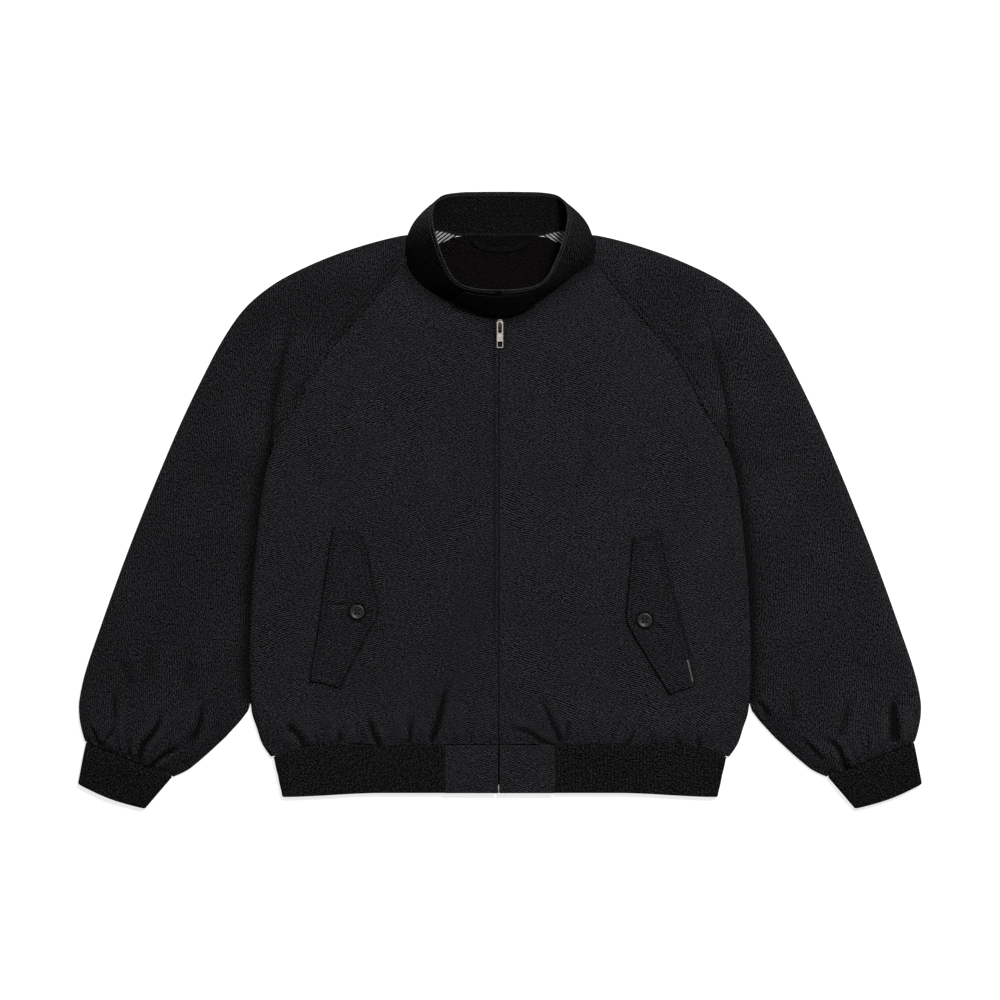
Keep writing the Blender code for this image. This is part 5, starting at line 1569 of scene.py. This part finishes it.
def makeStitching():
    for name, side in sides.items():
        seam = offsetCurve(raglanSeam, np.linspace(0.02, 0.97, 60), stitch["besideSeam"])
        seam[:, 0] *= side
        sewnPiece(f"raglan_stitch_{name}", stitchPaths(laidOn(f"sleeve_front_{name}_cloth", seam)))
        paths = []
        for inset in flap["stitchIn"]:
            ring = insetRing(**flaps[name], inset=inset)
            paths += stitchPaths(laidOn(f"pocket_flap_{name}_cloth", ring, 1.2))
        sewnPiece(f"flap_stitch_{name}", paths)
        near = body["closureX"] * side + body["closureHalf"] + body["gap"] + hem["stitchIn"]
        far, low, high = hem["blockWidth"] - hem["stitchIn"], hem["edgeY"] + 3.6, hem["seamY"] - 3.7
        block = np.array([(near, high), (far, high), (far, low), (near, low), (near, high)]) * (side, 1)
        paths = []
        for first, last in zip(block, block[1:]):
            paths += stitchPaths(laidOn(f"hem_block_{name}_cloth", np.linspace(first, last, 30)))
        sewnPiece(f"block_stitch_{name}", paths)
    paths = []
    share = np.linspace(0.985, -0.985, 300)
    inward = -(collar["inset"] + collar["innerCloth"])
    for out, facing in ((0.0, 1), (inward, -1)):     # on the outer face, then on the inner one
        line = collarPoint(share, collar["stitchUp"], out + 0.0001)
        paths += stitchPaths(line, facing * unit(collarPoint(share, collar["stitchUp"], out + 1.0) - line))
    sewnPiece("collar_stitch", paths, "rimThread")
    print("stitching made")


# the outline of a flap moved inward, without its sewn edge's ends
def insetRing(sewn, free, inset):
    count = 40
    share = np.linspace(0, 1, count)
    first, last = curveAt(sewn, share), curveAt(free, share)
    across = last - first
    width = np.linalg.norm(across, axis=1)[:, None]
    cut = max(1, int(round(inset / runLengths(np.array(free, float))[-1] * count)))
    freeLine = (first + across * (1 - inset / width))[cut:-cut]
    sewnLine = (first + across * (inset / width))[cut:-cut]
    first, last = sewnLine[:1] * 0.1 + freeLine[:1] * 0.9, (freeLine[-1:] + sewnLine[-1:]) * 0.5
    return np.concatenate([first, freeLine, last])


# the pull's slot is half its width and its far end; its eye half its width, its near and far end
zipParts = {"tapeX": (2.0, 15.0), "tape": 1.0, "teeth": 226, "firstTooth": 201, "toothPitch": 2.4,
            "tooth": 0.5,
            "toothReach": (2.6, 1.4, 0.2, -0.5, -0.7), "toothBend": (-0.05, -0.2, -0.3, -0.2, 0.05),
            "toothDown": 0.35, "axisY": 212.2, "axisZ": 13.7, "pullLength": 31.4, "pullHalf": 3.75,
            "pullThick": 1.2, "pullBar": 1.2, "slot": (2.3, 12.4), "eye": (2.9, 22.7, 29.3)}
# y and height of the zip's upper face
tapeRows = [(215.5, 10.2), (198, 10.2), (180, 10.2), (-272, 10.2), (-293, 8.6), (-348, 7.0)]


def tapeTop(y):
    ys, heights = np.array(tapeRows, float).T
    return np.interp(-y, -ys, heights)


def makeZip():
    near, far = zipParts["tapeX"]
    high, low = tapeRows[0][0], tapeRows[-1][0]
    y = high - spreadPlaces(high - low, 4)
    xs = near + spreadPlaces(far - near, 2.2, first=(0, 0.2, 0.5), last=(0, 0.2, 0.5))
    for name, side in sides.items():
        x = side * xs[None, :] + closureShift(y)[:, None]
        grid = np.stack([x, y[:, None] + 0 * x, tapeTop(y)[:, None] + 0 * x], axis=-1)
        makeCloth(f"zip_tape_{name}_cloth", grid, zipParts["tape"], looks["tape"], grid[..., :2], 0.5, side < 0)
    makeTeeth()
    makePull()
    print("zip made")


def makeTeeth():
    paths = []
    for k in range(zipParts["teeth"]):
        y = zipParts["firstTooth"] - k * zipParts["toothPitch"]
        x = closureShift(y) + (1 if k % 2 else -1) * np.array(zipParts["toothReach"])
        z = tapeTop(y) - zipParts["toothDown"] + np.array(zipParts["toothBend"])
        paths.append(np.column_stack([x, np.full(len(x), y), z]))
    tubePiece("zip_teeth", paths, zipParts["tooth"], looks["teeth"], 6)


# the pull tab lies flat toward the hem, with a slot for the bridge and an eye at its end
def makePull():
    half, length, bar, thick = (zipParts[k] for k in ("pullHalf", "pullLength", "pullBar", "pullThick"))
    slotHalf, slotEnd = zipParts["slot"]
    eyeHalf, eyeStart, eyeEnd = zipParts["eye"]
    shape = bmesh.new()
    edges = []
    for loop in (roundedBox(half, -length + bar, bar, 1.2), roundedBox(slotHalf, -slotEnd, -bar, 0.6),
                 roundedBox(eyeHalf, -eyeEnd, -eyeStart, 0.6)):
        ring = [shape.verts.new((x, zipParts["axisY"] + y, zipParts["axisZ"] - thick / 2)) for x, y in loop]
        edges += [shape.edges.new((ring[i - 1], ring[i])) for i in range(len(ring))]
    filled = bmesh.ops.triangle_fill(shape, use_beauty=True, edges=edges)
    lower = [f for f in filled["geom"] if isinstance(f, bmesh.types.BMFace)]
    pushed = bmesh.ops.extrude_face_region(shape, geom=lower, use_keep_orig=True)
    moved = [v for v in pushed["geom"] if isinstance(v, bmesh.types.BMVert)]
    bmesh.ops.translate(shape, verts=moved, vec=(0, 0, thick))
    bmesh.ops.recalc_face_normals(shape, faces=shape.faces)
    sharp = [e for e in shape.edges if len(e.link_faces) == 2 and e.calc_face_angle() > 1.2]
    bmesh.ops.bevel(shape, geom=sharp, offset=0.2, segments=2, affect="EDGES")
    item = bmeshObject("zip_pull_tab", shape, looks["nickel"])
    item.data.set_sharp_from_angle(angle=math.radians(40))
    soft["zip_pull_tab"] = item


# an upright box about x 0 with round corners
def roundedBox(half, low, high, radius):
    points = []
    right, top, bottom = half - radius, high - radius, low + radius
    for x, y, start in ((right, top, 0), (-right, top, 90), (-right, bottom, 180), (right, bottom, 270)):
        for angle in np.radians(start + np.linspace(0, 90, 6)):
            points.append((x + radius * math.cos(angle), y + radius * math.sin(angle)))
    return points


for make in (makeFronts, makeSleeves, makeBack, makeHem, makeBlocks, makeCuffs, makeCollar, makeNeck,
             makeFlaps, makeLabel, makeButtons, makeZip, makeStitching):
    make()

for name, look in (("zip_slider", "slider"), ("zip_pin", "nickel")):
    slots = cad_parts[name].data.materials
    for i in range(len(slots)):
        slots[i] = looks[look]

# which node each piece stands for, and the slot it takes its finish from
stands = {"back_cloth": ("back_panel", "black_twill"), "hem_rib_knit": ("hem_rib", "black_rib_knit"),
          "collar_outer_cloth": ("collar_outer", "black_twill"),
          "collar_inner_cloth": ("collar_inner", "black_twill"),
          "collar_tab_cloth": ("collar_tab", "black_twill"),
          "back_facing_cloth": ("back_facing", "black_facing"),
          "hanger_loop_cloth": ("hanger_loop", "black_facing"), "label_cloth": ("label_tab", "woven_label"),
          "zip_pull_tab": ("zip_pull", "pale_nickel")}
# the same for the pieces that come in pairs
paired = {"front_{}_cloth": ("front_{}", "black_twill"),
          "sleeve_front_{}_cloth": ("sleeve_front_{}", "black_twill"),
          "sleeve_back_{}_cloth": ("sleeve_back_{}", "black_twill"),
          "cuff_{}_knit": ("cuff_{}", "black_rib_knit"),
          "hem_block_{}_cloth": ("hem_block_{}", "black_twill"),
          "lining_{}_cloth": ("lining_{}", "striped_lining"),
          "pocket_flap_{}_cloth": ("pocket_flap_{}", "black_twill"),
          "button_{}_horn": ("pocket_button_{}", "horn_button"),
          "zip_tape_{}_cloth": ("zip_tape_{}", "black_zip_tape")}
for name in sides:
    stands |= {piece.format(name): (node.format(name), slot) for piece, (node, slot) in paired.items()}

for name, item in soft.items():
    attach(item, "pull_tab" if name == "zip_pull_tab" else "jacket")
    if name in stands:
        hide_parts(stands[name][0])

print("triangles:", sum(len(face.vertices) - 2 for item in soft.values() for face in item.data.polygons))


# floor, light and camera

stage = {"half": 20.0, "z": -0.0003, "seenGlow": 0.65, "glow": 0.12}


# the floor glows a little, and more where the camera sees it, so that it comes out white
def makeStage():
    shape = bmesh.new()
    bmesh.ops.create_grid(shape, x_segments=2, y_segments=2, size=stage["half"])
    mesh = bpy.data.meshes.new("floor")
    shape.to_mesh(mesh)
    shape.free()
    floor = bpy.data.objects.new("floor", mesh)
    floor.location.z = stage["z"]
    bpy.context.scene.collection.objects.link(floor)
    material, n, shader = newMaterial("pale floor")
    place = n.add("ShaderNodeTexCoord").outputs["Object"]
    colour = n.mix(n.noise(place, 3.0, 2.0), (0.50, 0.50, 0.50, 1), (0.54, 0.54, 0.54, 1))
    n.link(colour, shader.inputs["Base Color"])
    shader.inputs["Roughness"].default_value = 0.9
    shader.inputs["Emission Color"].default_value = (1, 1, 1, 1)
    seen = n.add("ShaderNodeLightPath").outputs["Is Camera Ray"]
    n.link(n.math("MULTIPLY_ADD", seen, stage["seenGlow"], stage["glow"]), shader.inputs["Emission Strength"])
    mesh.materials.append(material)


lights = {
    "key": {"place": (1.7, 2.6, 4.7), "size": 1.2, "power": 285.0, "colour": (1.0, 0.99, 0.98)},
    "fill": {"place": (-1.7, 2.7, 2.6), "size": 1.6, "power": 14.0, "colour": (0.96, 0.98, 1.0)},
    "overhead": {"place": (0.0, 0.0, 5.6), "size": 2.2, "power": 16.0, "colour": (1.0, 1.0, 1.0)}}


def makeLights():
    for name, given in lights.items():
        lamp = bpy.data.lights.new(name, "AREA")
        lamp.shape = "DISK"
        lamp.size = given["size"]
        lamp.energy = given["power"]
        lamp.color = given["colour"]
        item = bpy.data.objects.new(name, lamp)
        item.location = given["place"]
        item.rotation_euler = (-Vector(given["place"])).to_track_quat("-Z", "Y").to_euler()
        bpy.context.scene.collection.objects.link(item)
    world = bpy.data.worlds.new("studio")
    world.use_nodes = True
    background = world.node_tree.nodes["Background"]
    background.inputs["Color"].default_value = (1, 1, 1, 1)
    background.inputs["Strength"].default_value = 0.06
    bpy.context.scene.world = world
    bpy.context.scene.view_settings.view_transform = "Standard"


view = {"height": 4.5, "lens": 135.0, "sensor": 36.0}


def makeCamera():
    lens = bpy.data.cameras.new("camera")
    lens.lens = view["lens"]
    lens.sensor_width = view["sensor"]
    lens.sensor_height = view["sensor"]
    lens.sensor_fit = "HORIZONTAL"
    camera = bpy.data.objects.new("camera", lens)
    camera.location = (0, 0, view["height"])
    bpy.context.scene.collection.objects.link(camera)
    bpy.context.scene.camera = camera


makeStage()
makeLights()
makeCamera()
